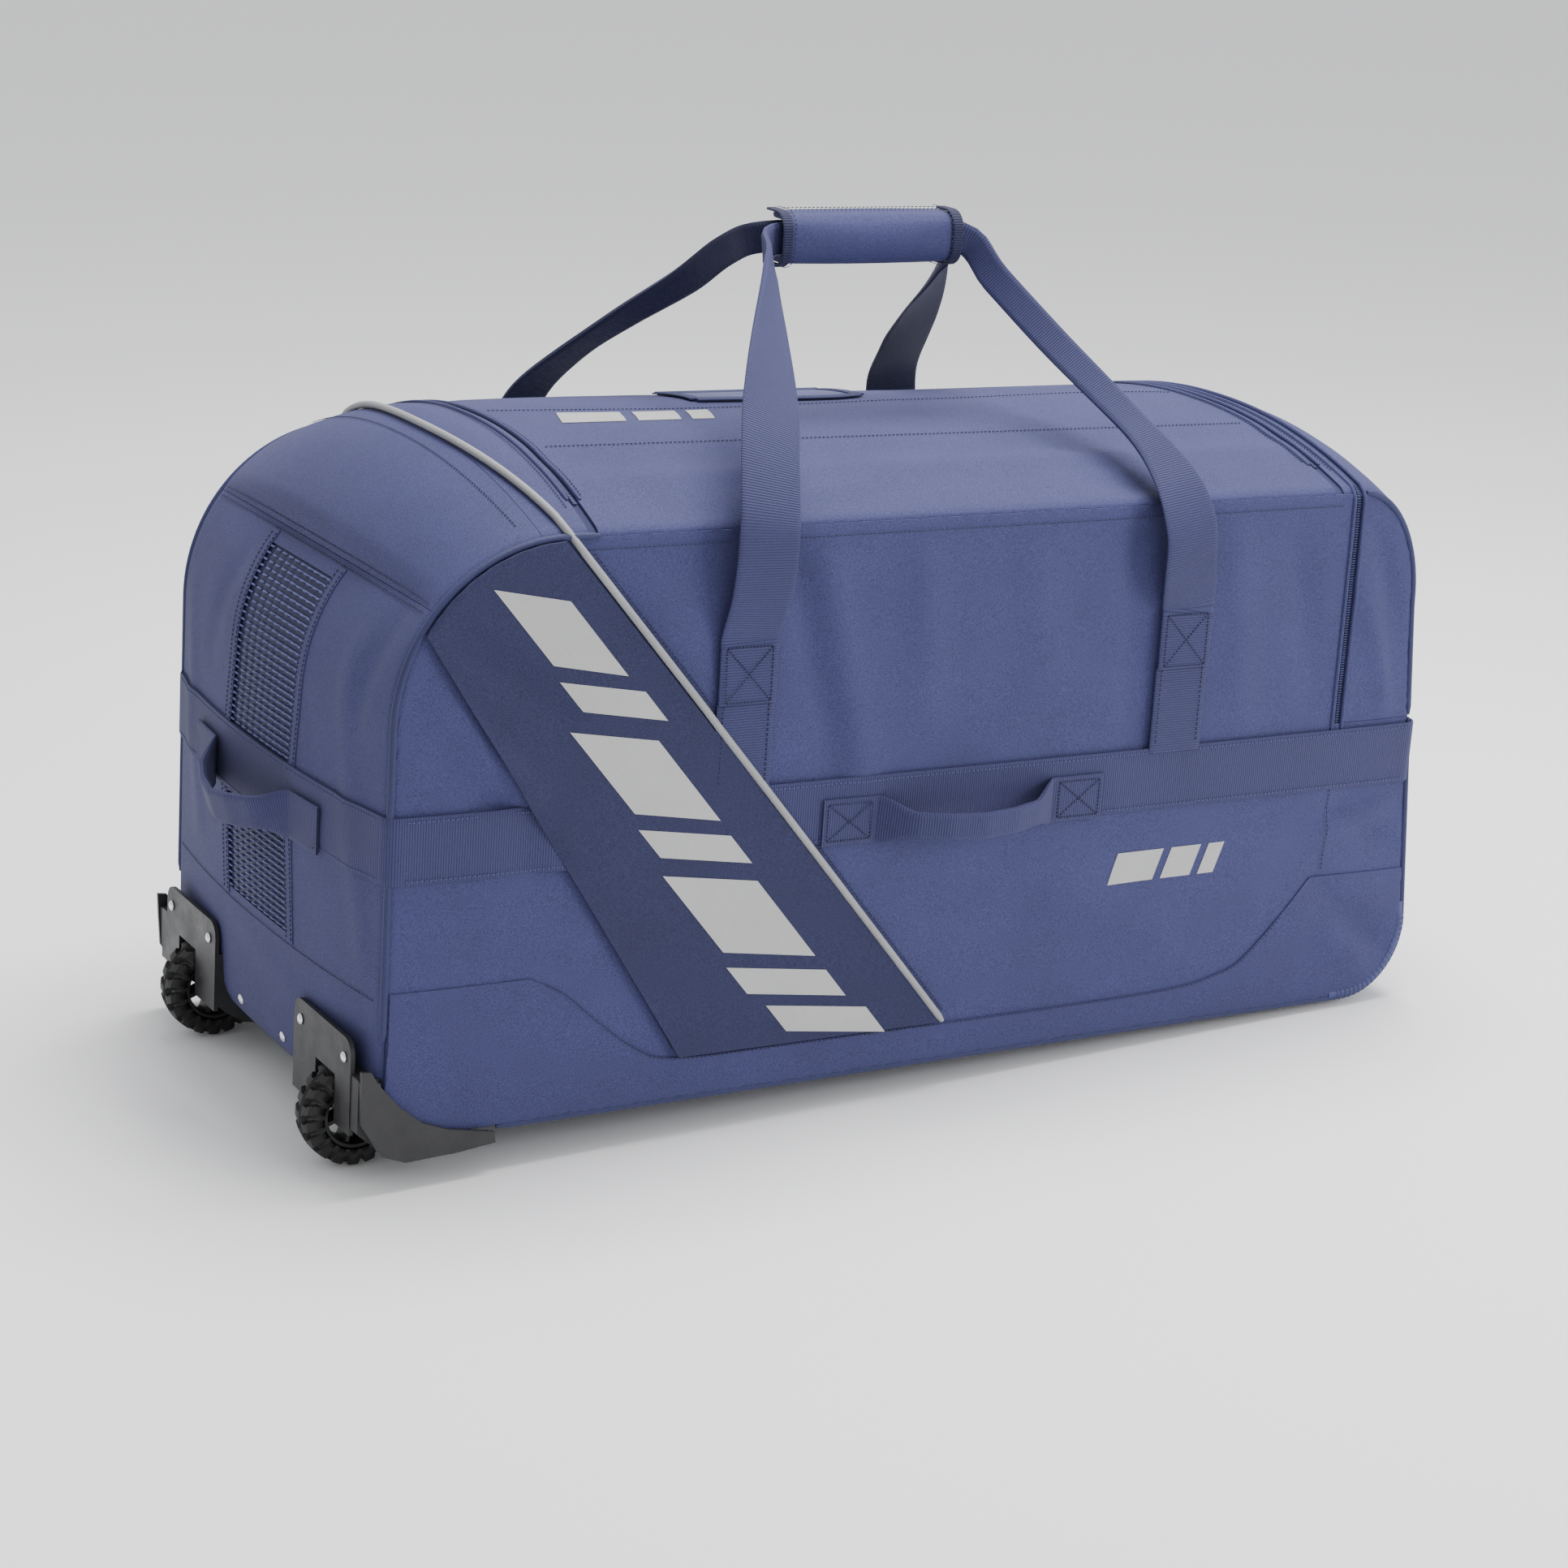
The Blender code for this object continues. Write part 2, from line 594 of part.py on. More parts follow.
FLAP_PIVOT = (on_skin(at_pulling_end(FLAP_LOW), MID_Y, 0.0015)[0], MID_Y, FLAP_LOW - 0.001)


def make_pocket_flap():
    edge = POCKET_X + ZIP_WIDTH / 2 + FIT
    seam = at_pulling_end(FLAP_LOW)
    ys = depth_rows(GUSSET_Y0, GUSSET_Y1, 6)
    place("pocket_flap_end", skin(stations(on_top(edge), seam), ys, 0.0, WALL), "cloth",
          FLAP_PIVOT, smooth=40)
    polygon = side_polygon(on_top(edge), seam) + [(edge, FLAP_LOW)]
    for name, low in (("pocket_flap_front", 0.0), ("pocket_flap_back", BODY_DEPTH - WALL)):
        place(name, prism(polygon, "y", low, low + WALL), "cloth", FLAP_PIVOT)


def make_pocket_zip():
    """One zip up the front face, over the crowned top and down the back face."""
    sink, thick = 0.0006, 0.0024
    top_s = on_top(POCKET_X)

    def run(inset):
        points = [(inset, FLAP_LOW)]
        for y in depth_rows(WALL, BODY_DEPTH - WALL, 8):
            points.append((max(inset, min(y, BODY_DEPTH - inset)),
                           on_skin(top_s, y, -inset)[2]))
        points.append((BODY_DEPTH - inset, FLAP_LOW))
        return points
    outline = run(sink) + list(reversed(run(sink + thick)))
    low, high = POCKET_X - ZIP_WIDTH / 2, POCKET_X + ZIP_WIDTH / 2
    place("pocket_zip", prism(outline, "x", low, high), "zip")


# ---------------------------------------------------------------- reinforcements on the faces
def make_yokes():
    seam = [(TOE_X - 0.110, 0.126), (TOE_X - 0.165, 0.068), (TOE_X - 0.200, 0.049),
            (TOE_X - 0.283, 0.040), (0.370, 0.039), (0.249, 0.040), (0.211, 0.053),
            (0.175, 0.081), (0.146, 0.106), (0.118, 0.120)]
    edge = side_polygon(at_pulling_end(0.125), at_wheel_end(0.120) + ROUND, 0.0005)
    for name, back in (("front_yoke", False), ("back_yoke", True)):
        face_prism(name, edge + list(reversed(seam)), FIT, CLOTH, "dark_cloth", back)


def straight(a0, b0, a1, b1, a):
    """b where the straight line through (a0, b0) and (a1, b1) passes a."""
    return b0 + (b1 - b0) * (a - a0) / (a1 - a0)


PIPE_TOP = (PIPE_TOP_X, BODY_HEIGHT)
ACCENT_RIGHT_FOOT_X = straight(BODY_HEIGHT, PIPE_TOP_X, BAND_LOW,
                               HANDLE_START - PEEL_LENGTH - XBOX - PIPE_CLEAR, ACCENT_FOOT_Z)


def pipe_x(z):
    """The slanted grey piping's x at a height on the side faces."""
    return straight(*PIPE_TOP[::-1], ACCENT_FOOT_Z, ACCENT_RIGHT_FOOT_X, z)


def pipe_z(x):
    """The slanted grey piping's height on the side faces at x."""
    return straight(*PIPE_TOP, ACCENT_RIGHT_FOOT_X, ACCENT_FOOT_Z, x)


def make_accents():
    beside = PIPING_R + FIT + 0.0006
    top = side_polygon(on_top(ACCENT_SHOULDER_X), on_top(PIPE_TOP[0] - beside), 0.001)
    polygon = top + [(ACCENT_RIGHT_FOOT_X - beside, ACCENT_FOOT_Z),
                     (ACCENT_LEFT_FOOT_X, ACCENT_FOOT_Z)]
    for name, back in (("front_accent_panel", False), ("back_accent_panel", True)):
        face_prism(name, polygon, ACCENT_LIFT, CLOTH, "dark_cloth", back)


def make_grey_piping():
    """Slanted down the front face, over the top and slanted down the back face."""
    lift = ACCENT_LIFT + PIPING_R
    over = BODY_HEIGHT + 0.5 * lift
    run = [Vector((ACCENT_RIGHT_FOOT_X, -lift, ACCENT_FOOT_Z + 0.001)),
           Vector((pipe_x(BODY_HEIGHT - 0.01), -lift, BODY_HEIGHT - 0.01)),
           Vector((PIPE_TOP[0] - 0.002, -0.6 * lift, over))]
    for y in depth_rows(0.010, MID_Y, 5):
        x = SHOULDER_EDGE + (PIPE_TOP[0] - SHOULDER_EDGE) * (1 - y / MID_Y) ** 2
        run.append(Vector(on_skin(on_top(x), y, PIPING_R + 2 * FIT)))
    mirrored = [Vector((p.x, BODY_DEPTH - p.y, p.z)) for p in reversed(run[:-1])]
    piping = tube(run + mirrored, PIPING_R, 6, Vector((1, 0.02, 0.3)))
    place("grey_piping", piping, "grey_piping", smooth=50)


def make_edge_pipings():
    """Piping on the seam round the wheel end and shoulder, above the wheel housings."""
    start, stop = at_wheel_end(PLATE_TOP + 0.003), on_top(0.120)
    for name, y in (("front_piping", WALL / 2), ("back_piping", BODY_DEPTH - WALL / 2)):
        path = []
        for s in stations(start, stop):
            x, z, normal = outline_at(s)
            path.append(Vector((x + normal.x * (PIPING_R + FIT), y,
                                z + normal.y * (PIPING_R + FIT))))
        place(name, tube(path, PIPING_R * 0.8, 6), "piping", smooth=50)


def make_edge_guards():
    ss = stations(at_pulling_end(GUARD_TOP), on_bottom(GUARD_FOOT_X))
    for name, y in (("front_edge_guard", -CLOTH - FIT),
                    ("back_edge_guard", BODY_DEPTH + CLOTH + FIT - GUARD_WIDTH)):
        outer, inner = [], []
        for s in ss:
            x, z, n = outline_at(s)
            reach = crown(s, WALL + GUARD_WIDTH) + FIT
            for row, out in ((outer, reach + GUARD_THICK), (inner, reach)):
                row.append([(x + n.x * out, y, z + n.y * out),
                            (x + n.x * out, y + GUARD_WIDTH, z + n.y * out)])
        place(name, sheet(outer, inner), "guard", smooth=50)


# ---------------------------------------------------------------- webbing
def peel_strip(start, direction, surface):
    """The handle's sewn end: flat on the band, then lifting off it towards the free part."""
    run = [(PEEL_LENGTH + XBOX, 0.0010, 0.0036), (0.020, 0.0010, 0.0038),
           (0.008, 0.0030, 0.0064), (0.0, PEEL - 0.0012, PEEL + 0.0012)]
    rows = []
    for z in (SEWN_LOW, SEWN_HIGH):
        under = [surface(start + direction * back, near, z) for back, near, _ in run]
        over = [surface(start + direction * back, far, z) for back, _, far in run]
        rows.append(under + list(reversed(over)))
    return stack(rows)


def make_bands():
    x0, x1 = 0.002, outline_at(at_pulling_end(BAND_LOW + BAND_WIDTH / 2))[0] - 0.002
    for name, base, out in (("front_band", 0.0, -1), ("back_band", BODY_DEPTH, 1)):
        strip = [(x0, base + out * FIT), (x1, base + out * FIT),
                 (x1, base + out * (FIT + CLOTH)), (x0, base + out * (FIT + CLOTH))]
        band = place(name, prism(strip, "z", BAND_LOW, BAND_TOP), "webbing")

        def surface(x, lift, z):
            return x, base + out * lift, z
        boolean(band, merge(peel_strip(HANDLE_START, -1, surface),
                            peel_strip(HANDLE_START + HANDLE_LENGTH, 1, surface)), "UNION")

    for name, at in (("wheel_end_band", at_wheel_end), ("pulling_end_band", at_pulling_end)):
        ss = band_stations(at)
        band = place(name, skin(ss, end_rows(), FIT + CLOTH, CLOTH), "webbing", smooth=40)

        def surface(y, lift, z):
            return on_skin(at(z), y, lift + 0.0006)[0], y, z
        boolean(band, merge(peel_strip(MID_Y - END_HANDLE_HALF, -1, surface),
                            peel_strip(MID_Y + END_HANDLE_HALF, 1, surface)), "UNION")


def make_grab_handle(name, path, pivot):
    path = smooth_path(path, 3)
    count = len(path)
    widths = blend([HANDLE_WIDTH, HANDLE_WIDTH * 1.15, HANDLE_WIDTH * 1.2,
                    HANDLE_WIDTH * 1.15, HANDLE_WIDTH], count)
    across = [Vector((0, 0, 1))] * count
    place(name, ribbon(path, across, widths, [STRAP_THICK] * count), "webbing", pivot, smooth=60)


def make_grab_handles():
    for name, base, out in (("front_handle", 0.0, -1), ("back_handle", BODY_DEPTH, 1)):
        profile = [(0.0, PEEL, 0.0), (0.08, 0.021, -0.001), (0.25, 0.030, -0.003),
                   (0.5, 0.034, -0.004), (0.75, 0.030, -0.003), (0.92, 0.021, -0.001),
                   (1.0, PEEL, 0.0)]
        reach = HANDLE_LENGTH - 2 * HANDLE_GAP
        path = [(HANDLE_START + HANDLE_GAP + reach * t, base + out * lift, HANDLE_Z + drop)
                for t, lift, drop in profile]
        pivot = (HANDLE_START + HANDLE_LENGTH / 2, base + out * PEEL, HANDLE_Z)
        make_grab_handle(name, path, pivot)
    for name, at, side in (("wheel_end_handle", at_wheel_end, -1),
                           ("pulling_end_handle", at_pulling_end, 1)):
        y0 = MID_Y - END_HANDLE_HALF
        x0 = on_skin(at(HANDLE_Z), y0, PEEL + 0.0006)[0]
        profile = [(0.0, 0.0, 0.0), (0.1, 0.012, -0.003), (0.27, 0.026, -0.010),
                   (0.5, 0.032, -0.014), (0.73, 0.026, -0.010), (0.9, 0.012, -0.003),
                   (1.0, 0.0, 0.0)]
        reach = 2 * (END_HANDLE_HALF - HANDLE_GAP)
        path = [(x0 + side * lift, y0 + HANDLE_GAP + reach * t, HANDLE_Z + drop)
                for t, lift, drop in profile]
        make_grab_handle(name, path, (x0, MID_Y, HANDLE_Z))


def anchor_foot(left, right):
    """The lower corners, right to left: level at the band, cut along the slanted piping."""
    clear = PIPING_R + 0.004
    foot = BAND_TOP + FIT
    crossing = pipe_x(foot) + clear
    if crossing <= left:
        return [(right, foot), (left, foot)]
    cut_left = (left, pipe_z(left - clear))
    if crossing >= right:
        return [(right, pipe_z(right - clear)), cut_left]
    return [(right, foot), (crossing, foot), cut_left]


def make_strap_anchors():
    """Webbing sewn flat from the foot of each carry loop down to the band."""
    half = STRAP_WIDTH / 2
    for side, back in (("front", False), ("back", True)):
        for name, x in (("left", STRAP_LEFT_X), ("right", STRAP_RIGHT_X)):
            polygon = [(x - half, ANCHOR_TOP), (x + half, ANCHOR_TOP)]
            polygon += anchor_foot(x - half, x + half)
            face_prism("%s_strap_anchor_%s" % (side, name), polygon, FIT, STRAP_THICK,
                       "webbing", back)


FRONT_LOOP_PIVOT = (BODY_LENGTH / 2, -LOOP_LIFT, ANCHOR_TOP + FIT)
REAR_LOOP_PIVOT = (BODY_LENGTH / 2, BODY_DEPTH + LOOP_LIFT, ANCHOR_TOP + FIT)

# Each leg's points, as shares of the way from its foot to the grip: along, inward and up.
FRONT_LEFT_LEG = [(0.016, -0.086, 0.130), (0.016, -0.115, 0.251), (0.032, -0.096, 0.377),
                  (0.145, 0.058, 0.547), (0.353, 0.298, 0.695), (0.602, 0.586, 0.828),
                  (0.819, 0.845, 0.935)]
FRONT_RIGHT_LEG = [(0.089, -0.096, 0.140), (0.124, -0.106, 0.259), (0.169, -0.038, 0.377),
                   (0.213, 0.120, 0.473), (0.320, 0.346, 0.577), (0.533, 0.624, 0.725),
                   (0.782, 0.864, 0.887)]
REAR_LEFT_LEG = [(0.032, -0.086, 0.130), (0.112, -0.106, 0.259), (0.209, -0.077, 0.392),
                 (0.402, 0.058, 0.529), (0.610, 0.278, 0.669), (0.803, 0.552, 0.813),
                 (0.859, 0.816, 0.939)]
REAR_RIGHT_LEG = [(0.018, -0.086, 0.130), (0.089, -0.106, 0.259), (0.178, -0.058, 0.407),
                  (0.284, 0.115, 0.540), (0.444, 0.355, 0.680), (0.658, 0.614, 0.806),
                  (0.818, 0.835, 0.917)]


def leg_path(leg, foot_x, grip_x, far):
    """A leg's points from its foot on the face up to the grip."""
    face, inward = (BODY_DEPTH, -1) if far else (0.0, 1)
    foot_z = ANCHOR_TOP + 2 * FIT
    reach, rise = MID_Y - LOOP_SPREAD, GRIP_Z - ANCHOR_TOP
    points = [(foot_x, face - inward * (LOOP_LIFT + 0.0015 * share), foot_z + LOOP_LEAD * share)
              for share in (0.0, 0.5, 1.0)]
    points += [(foot_x + along * (grip_x - foot_x), face + inward * share * reach,
                ANCHOR_TOP + up * rise) for along, share, up in leg]
    return points


def width_direction(t, inward, mirror):
    """Where a leg's width points, from flat on the face at its foot (t = 0) to upright."""
    flat, upright = Vector((1, 0, 0)), Vector((0, 0, -1))
    half = flat.lerp(Vector((0.75, -0.25 * inward, -0.6)), 0.5)
    if t < TWIST:
        v = flat.lerp(half, t / TWIST)
    else:
        v = half.lerp(upright, (t - TWIST) / (1 - TWIST))
    return Vector((mirror * v.x, v.y, v.z))


def make_carry_strap(name, left_leg, right_leg, far, pivot):
    """One strap: up from its left foot, through the grip and down to its right foot."""
    left = leg_path(left_leg, STRAP_LEFT_X, GRIP_LEFT, far)
    right = leg_path(right_leg, STRAP_RIGHT_X, GRIP_RIGHT, far)
    inward = -1 if far else 1
    grip_y = MID_Y - inward * LOOP_SPREAD
    grip = [(GRIP_LEFT - 0.004, grip_y, GRIP_Z), (GRIP_LEFT + GRIP_LENGTH / 2, grip_y, GRIP_Z),
            (GRIP_RIGHT + 0.004, grip_y, GRIP_Z)]
    path = smooth_path(left + grip + list(reversed(right)), 2)
    count = len(path)
    leg_steps = 2 * len(left) - 1
    across, widths, thick = [], [], []
    for i in range(count):
        t = min(1.0, min(i, count - 1 - i) / leg_steps)
        folded = max(0.0, 2 * t - 1)
        across.append(width_direction(t, inward, 1 if i < count / 2 else -1))
        widths.append(STRAP_WIDTH + (FOLDED_WIDTH - STRAP_WIDTH) * folded)
        thick.append(STRAP_THICK + (FOLDED_THICK - STRAP_THICK) * folded)
    place(name, ribbon(path, across, widths, thick), "webbing", pivot, smooth=60)


def make_carry_straps():
    make_carry_strap("front_carry_strap", FRONT_LEFT_LEG, FRONT_RIGHT_LEG, False, FRONT_LOOP_PIVOT)
    make_carry_strap("rear_carry_strap", REAR_LEFT_LEG, REAR_RIGHT_LEG, True, REAR_LOOP_PIVOT)


def make_grip():
    """A padded wrap, C-shaped: closed above, in front and below, open to the rear."""
    y0, y1 = MID_Y - GRIP_WIDE / 2, MID_Y + GRIP_WIDE / 2
    z0, z1 = GRIP_Z - GRIP_TALL / 2, GRIP_Z + GRIP_TALL / 2
    r = 0.010
    outer = [(y1, z1), (y0 + r, z1)] + arc((y0 + r, z1 - r), (r, r), 90, 180, 3)[1:]
    outer += arc((y0 + r, z0 + r), (r, r), 180, 270, 3) + [(y1, z0)]
    inner = [(y1, z0 + GRIP_PAD), (y0 + GRIP_PAD, z0 + GRIP_PAD),
             (y0 + GRIP_PAD, z1 - GRIP_PAD), (y1, z1 - GRIP_PAD)]
    place("grip_wrap", prism(outer + inner, "x", GRIP_LEFT, GRIP_RIGHT), "cloth",
          FRONT_LOOP_PIVOT)


# ---------------------------------------------------------------- zip sliders
def slider(name, centre, along, out, pivot):
    """A slider body with its pull tab lying back along the zip; along and out are unit vectors."""
    side = along.cross(out)
    half_length, half_wide, tall = 0.0065, ZIP_WIDTH / 2 - FIT, 0.0048
    profile = [(-half_length, -0.6 * half_wide), (0.0, -half_wide), (half_length, -half_wide),
               (half_length, half_wide), (0.0, half_wide), (-half_length, 0.6 * half_wide)]
    rows = [[centre + along * a + side * b + out * level for a, b in profile]
            for level in (0.0, tall)]
    body = place(name, stack(rows), "steel", pivot)
    tab = [(-half_length + 0.001, -0.0028), (0.018, -0.0034), (0.022, 0.0), (0.018, 0.0034),
           (-half_length + 0.001, 0.0028)]
    rows = [[centre + along * a + side * b + out * level for a, b in tab]
            for level in (tall - 0.0006, tall + 0.0010)]
    boolean(body, stack(rows), "UNION")


def make_sliders():
    y = LID_BACK + FIT + ZIP_WIDTH / 2
    slope = Vector(on_skin(on_top(0.5), y + 0.004, 0)) - Vector(on_skin(on_top(0.5), y - 0.004, 0))
    out = Vector((1, 0, 0)).cross(slope).normalized()
    middle = 0.5 * (LID_LEFT + LID_RIGHT)
    for name, side in (("lid_slider_left", -1), ("lid_slider_right", 1)):
        x = middle + side * 0.008
        centre = Vector(on_skin(on_top(x), y, 0.0016))
        slider(name, centre, Vector((side, 0, 0)), out, tuple(centre))
    centre = Vector((POCKET_X, BODY_DEPTH + 0.0010, FLAP_LOW + 0.012))
    slider("pocket_slider", centre, Vector((0, 0, 1)), Vector((0, 1, 0)), tuple(centre))


# ---------------------------------------------------------------- wheels
def mirrored_y(y, far):
    return BODY_DEPTH - y if far else y


def span(low, high, far):
    return sorted((mirrored_y(low, far), mirrored_y(high, far)))


def make_housing(name, far):
    """A moulding with an end plate, a cheek that wraps the bag's corner and a wheel well."""
    inside, top = WELL_X, WELL_Z
    plate_out = PLATE_X - PLATE_THICK
    r = 0.012
    y0, y1 = HOUSING_LOW_Y, HOUSING_HIGH_Y
    plate = [(y0, 0.004), (y1, 0.004)] + arc((y1 - r, PLATE_TOP - r), (r, r), 0, 90, 4)
    plate += arc((y0 + r, PLATE_TOP - r), (r, r), 90, 180, 4)
    plate = [(mirrored_y(y, far), z) for y, z in plate]
    housing = place(name, prism(plate, "x", plate_out, PLATE_X), "plastic", smooth=40)

    well = [(plate_out + 0.001, 0.010), (plate_out + 0.001, top), (inside - 0.016, top),
            (inside, top - 0.016), (inside, -0.002), (0.030, -0.012), (0.010, -0.008),
            (-0.006, 0.002)]
    boolean(housing, prism(well, "y", *span(GUSSET_Y0, y1, far)), "UNION")

    fender = [(plate_out - 0.001, top + 0.0103), (-0.009, top + 0.0093), (-0.003, top - 0.0007),
              (0.014, 0.032), (0.034, 0.016), (0.055, 0.008), (FENDER_END - 0.001, 0.001),
              (FENDER_END, -0.008), (0.062, -0.012), (0.021, -0.014), (0.002, -0.007),
              (-0.014, 0.018), (-0.016, 0.044)]
    outside = -(FIT + CLOTH + FIT)
    boolean(housing, prism(fender, "y", *span(outside - 0.0030, outside, far)), "UNION")

    corner = [(plate_out + 0.0012, top - 0.001), (-FIT, top - 0.001)]
    corner += [(x - 0.7 * FIT, z - 0.7 * FIT)
               for x, z in arc((HEEL_R, HEEL_R), (HEEL_R, HEEL_R), 180, 270, 4)]
    corner += [(inside, -FIT), (inside, -0.0112), (0.021, -0.0135), (0.002, -0.0065),
               (-0.0135, 0.018)]
    boolean(housing, prism(corner, "y", *span(outside - 0.0010, GUSSET_Y0 + 0.001, far)), "UNION")
    lip = [(inside - 0.003, -FIT), (FENDER_END - 0.003, -FIT), (FENDER_END - 0.003, -0.0079),
           (0.062, -0.0115), (inside - 0.003, -0.0112)]
    boolean(housing, prism(lip, "y", *span(outside - 0.0010, WALL, far)), "UNION")

    reach = WHEEL_WIDTH / 2 + SLOT_SIDE
    slot = rod("y", (WHEEL_X, WHEEL_Z), SLOT_RADIUS,
               *span(WHEEL_Y - reach, WHEEL_Y + reach, far), segments=24)
    bore = rod("y", (WHEEL_X, WHEEL_Z), AXLE_RADIUS + AXLE_PLAY,
               *span(WHEEL_Y - reach - 0.006, WHEEL_Y + reach + 0.006, far), segments=12)
    boolean(housing, slot, "DIFFERENCE")
    boolean(housing, bore, "DIFFERENCE")


def make_wheel(side, far):
    y = mirrored_y(WHEEL_Y, far)
    pivot = (WHEEL_X, y, WHEEL_Z)
    low, high = y - WHEEL_WIDTH / 2, y + WHEEL_WIDTH / 2
    outer, inner = [], []
    for k in range(2 * LUGS):
        a = 2 * pi * k / (2 * LUGS) - pi / 2
        radius = WHEEL_RADIUS if k % 4 < 2 else WHEEL_RADIUS - LUG_DEPTH
        outer.append((WHEEL_X + radius * cos(a), WHEEL_Z + radius * sin(a)))
        inner.append((WHEEL_X + (RIM_RADIUS + FIT) * cos(a), WHEEL_Z + (RIM_RADIUS + FIT) * sin(a)))
    rows = [[(p[0], low, p[1]), (p[0], high, p[1]), (q[0], high, q[1]), (q[0], low, q[1])]
            for p, q in zip(outer, inner)]
    place("tyre_" + side, stack(rows, closed=True), "tread", pivot)

    bore = AXLE_RADIUS + AXLE_PLAY
    rows = []
    for k in range(30):
        a = 2 * pi * k / 30
        rows.append([(WHEEL_X + r * cos(a), level, WHEEL_Z + r * sin(a))
                     for r, level in ((RIM_RADIUS, low + 0.002), (RIM_RADIUS, high - 0.002),
                                      (bore, high - 0.002), (bore, low + 0.002))])
    hub = place("hub_" + side, stack(rows, closed=True), "plastic", pivot, smooth=40)
    windows = []
    for k in range(5):
        start = 72 * k
        centre = (WHEEL_X, WHEEL_Z)
        edge = arc(centre, (RIM_RADIUS - 0.0045,) * 2, start + 12, start + 60, 4)
        edge += arc(centre, (bore + 0.0042,) * 2, start + 54, start + 18, 2)
        windows.append(prism(edge, "y", low - 0.01, high + 0.01))
    boolean(hub, merge(*windows), "DIFFERENCE")

    reach = WHEEL_WIDTH / 2 + SLOT_SIDE + 0.0055
    axle = rod("y", (WHEEL_X, WHEEL_Z), AXLE_RADIUS, y - reach, y + reach, segments=16)
    place("axle_" + side, axle, "steel", smooth=40)


def rivet(name, base, out):
    """A domed rivet head standing on a surface at base, facing out."""
    out = Vector(out).normalized()
    side = out.cross(Vector((0, 1, 0))).normalized()
    other = out.cross(side)
    rows = []
    for level, radius in ((0.0, 1.0), (0.35, 0.98), (0.75, 0.72), (1.0, 0.3)):
        rows.append([Vector(base) + out * (FIT + level * RIVET_HEIGHT)
                     + (side * cos(2 * pi * k / 12) + other * sin(2 * pi * k / 12))
                     * RIVET_RADIUS * radius for k in range(12)])
    place(name, stack(rows), "steel", smooth=60)


def make_rivets():
    plate = PLATE_X - PLATE_THICK
    for label, far in (("near", False), ("far", True)):
        for place_name, y in (("outer", HOUSING_LOW_Y + 0.012), ("inner", HOUSING_HIGH_Y - 0.014)):
            base = (plate, mirrored_y(y, far), PLATE_TOP - RIVET_DROP)
            rivet("rivet_%s_%s" % (label, place_name), base, (-1, 0, 0))
        y = mirrored_y(HOUSING_HIGH_Y + RIVET_STEP, far)
        s = at_wheel_end(0.030)
        base = on_skin(s, y, 0.0)
        normal = outline_at(s)[2]
        rivet("rivet_middle_" + label, base, (normal.x, 0, normal.y))


# ---------------------------------------------------------------- standing on the floor
def low_point(angle, points):
    return min(z * cos(angle) - x * sin(angle) for x, z in points)


def resting_tilt():
    """The tilt at which the tyres and the edge guards touch one level floor."""
    guard = []
    for s in stations(at_pulling_end(GUARD_TOP), on_bottom(GUARD_FOOT_X)):
        x, z, n = outline_at(s)
        out = crown(s, WALL + GUARD_WIDTH) + FIT + GUARD_THICK
        guard.append((x + n.x * out, z + n.y * out))
    low, high = 0.0, radians(12)
    for _ in range(40):
        angle = 0.5 * (low + high)
        wheel = low_point(angle, [(WHEEL_X, WHEEL_Z)]) - WHEEL_RADIUS
        if low_point(angle, guard) > wheel:
            low = angle
        else:
            high = angle
    return angle


def stand_on_floor():
    tilt = resting_tilt()
    bag_frame.rotation_euler = (0.0, tilt, 0.0)
    bpy.context.view_layer.update()
    graph = bpy.context.evaluated_depsgraph_get()
    corners = []
    for obj in bpy.data.objects:
        if obj.type == "MESH" and not obj.hide_render:
            shape = obj.evaluated_get(graph)
            corners += [shape.matrix_world @ v.co for v in shape.data.vertices]
    x = [v.x for v in corners]
    y = [v.y for v in corners]
    bag_frame.location = (-(min(x) + max(x)) / 2, -(min(y) + max(y)) / 2,
                          -min(v.z for v in corners))


make_side_panels()
make_wheel_end()
make_bottom()
make_shoulder()
make_top_border()
make_lid_zip()
make_lid()
make_pulling_end()
make_pocket_flap()
make_pocket_zip()
make_yokes()
make_accents()
make_grey_piping()
make_edge_pipings()
make_edge_guards()
make_bands()
make_grab_handles()
make_strap_anchors()
make_carry_straps()
make_grip()
make_sliders()
for wheel_side, is_far in (("near", False), ("far", True)):
    make_housing("wheel_housing_" + wheel_side, is_far)
    make_wheel(wheel_side, is_far)
make_rivets()
stand_on_floor()
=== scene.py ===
"""The looks of the wheeled hockey equipment bag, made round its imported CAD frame.

Shapes are drawn in the bag's own axes, in metres: x from the wheel end to the pulling end, y from
the front face to the back face, z up from the bottom seam. BAG turns them into the row's frame.
"""
import json
from math import cos, pi, radians, sin, sqrt

import bpy
import bmesh
import numpy as np
from mathutils import Matrix, Vector


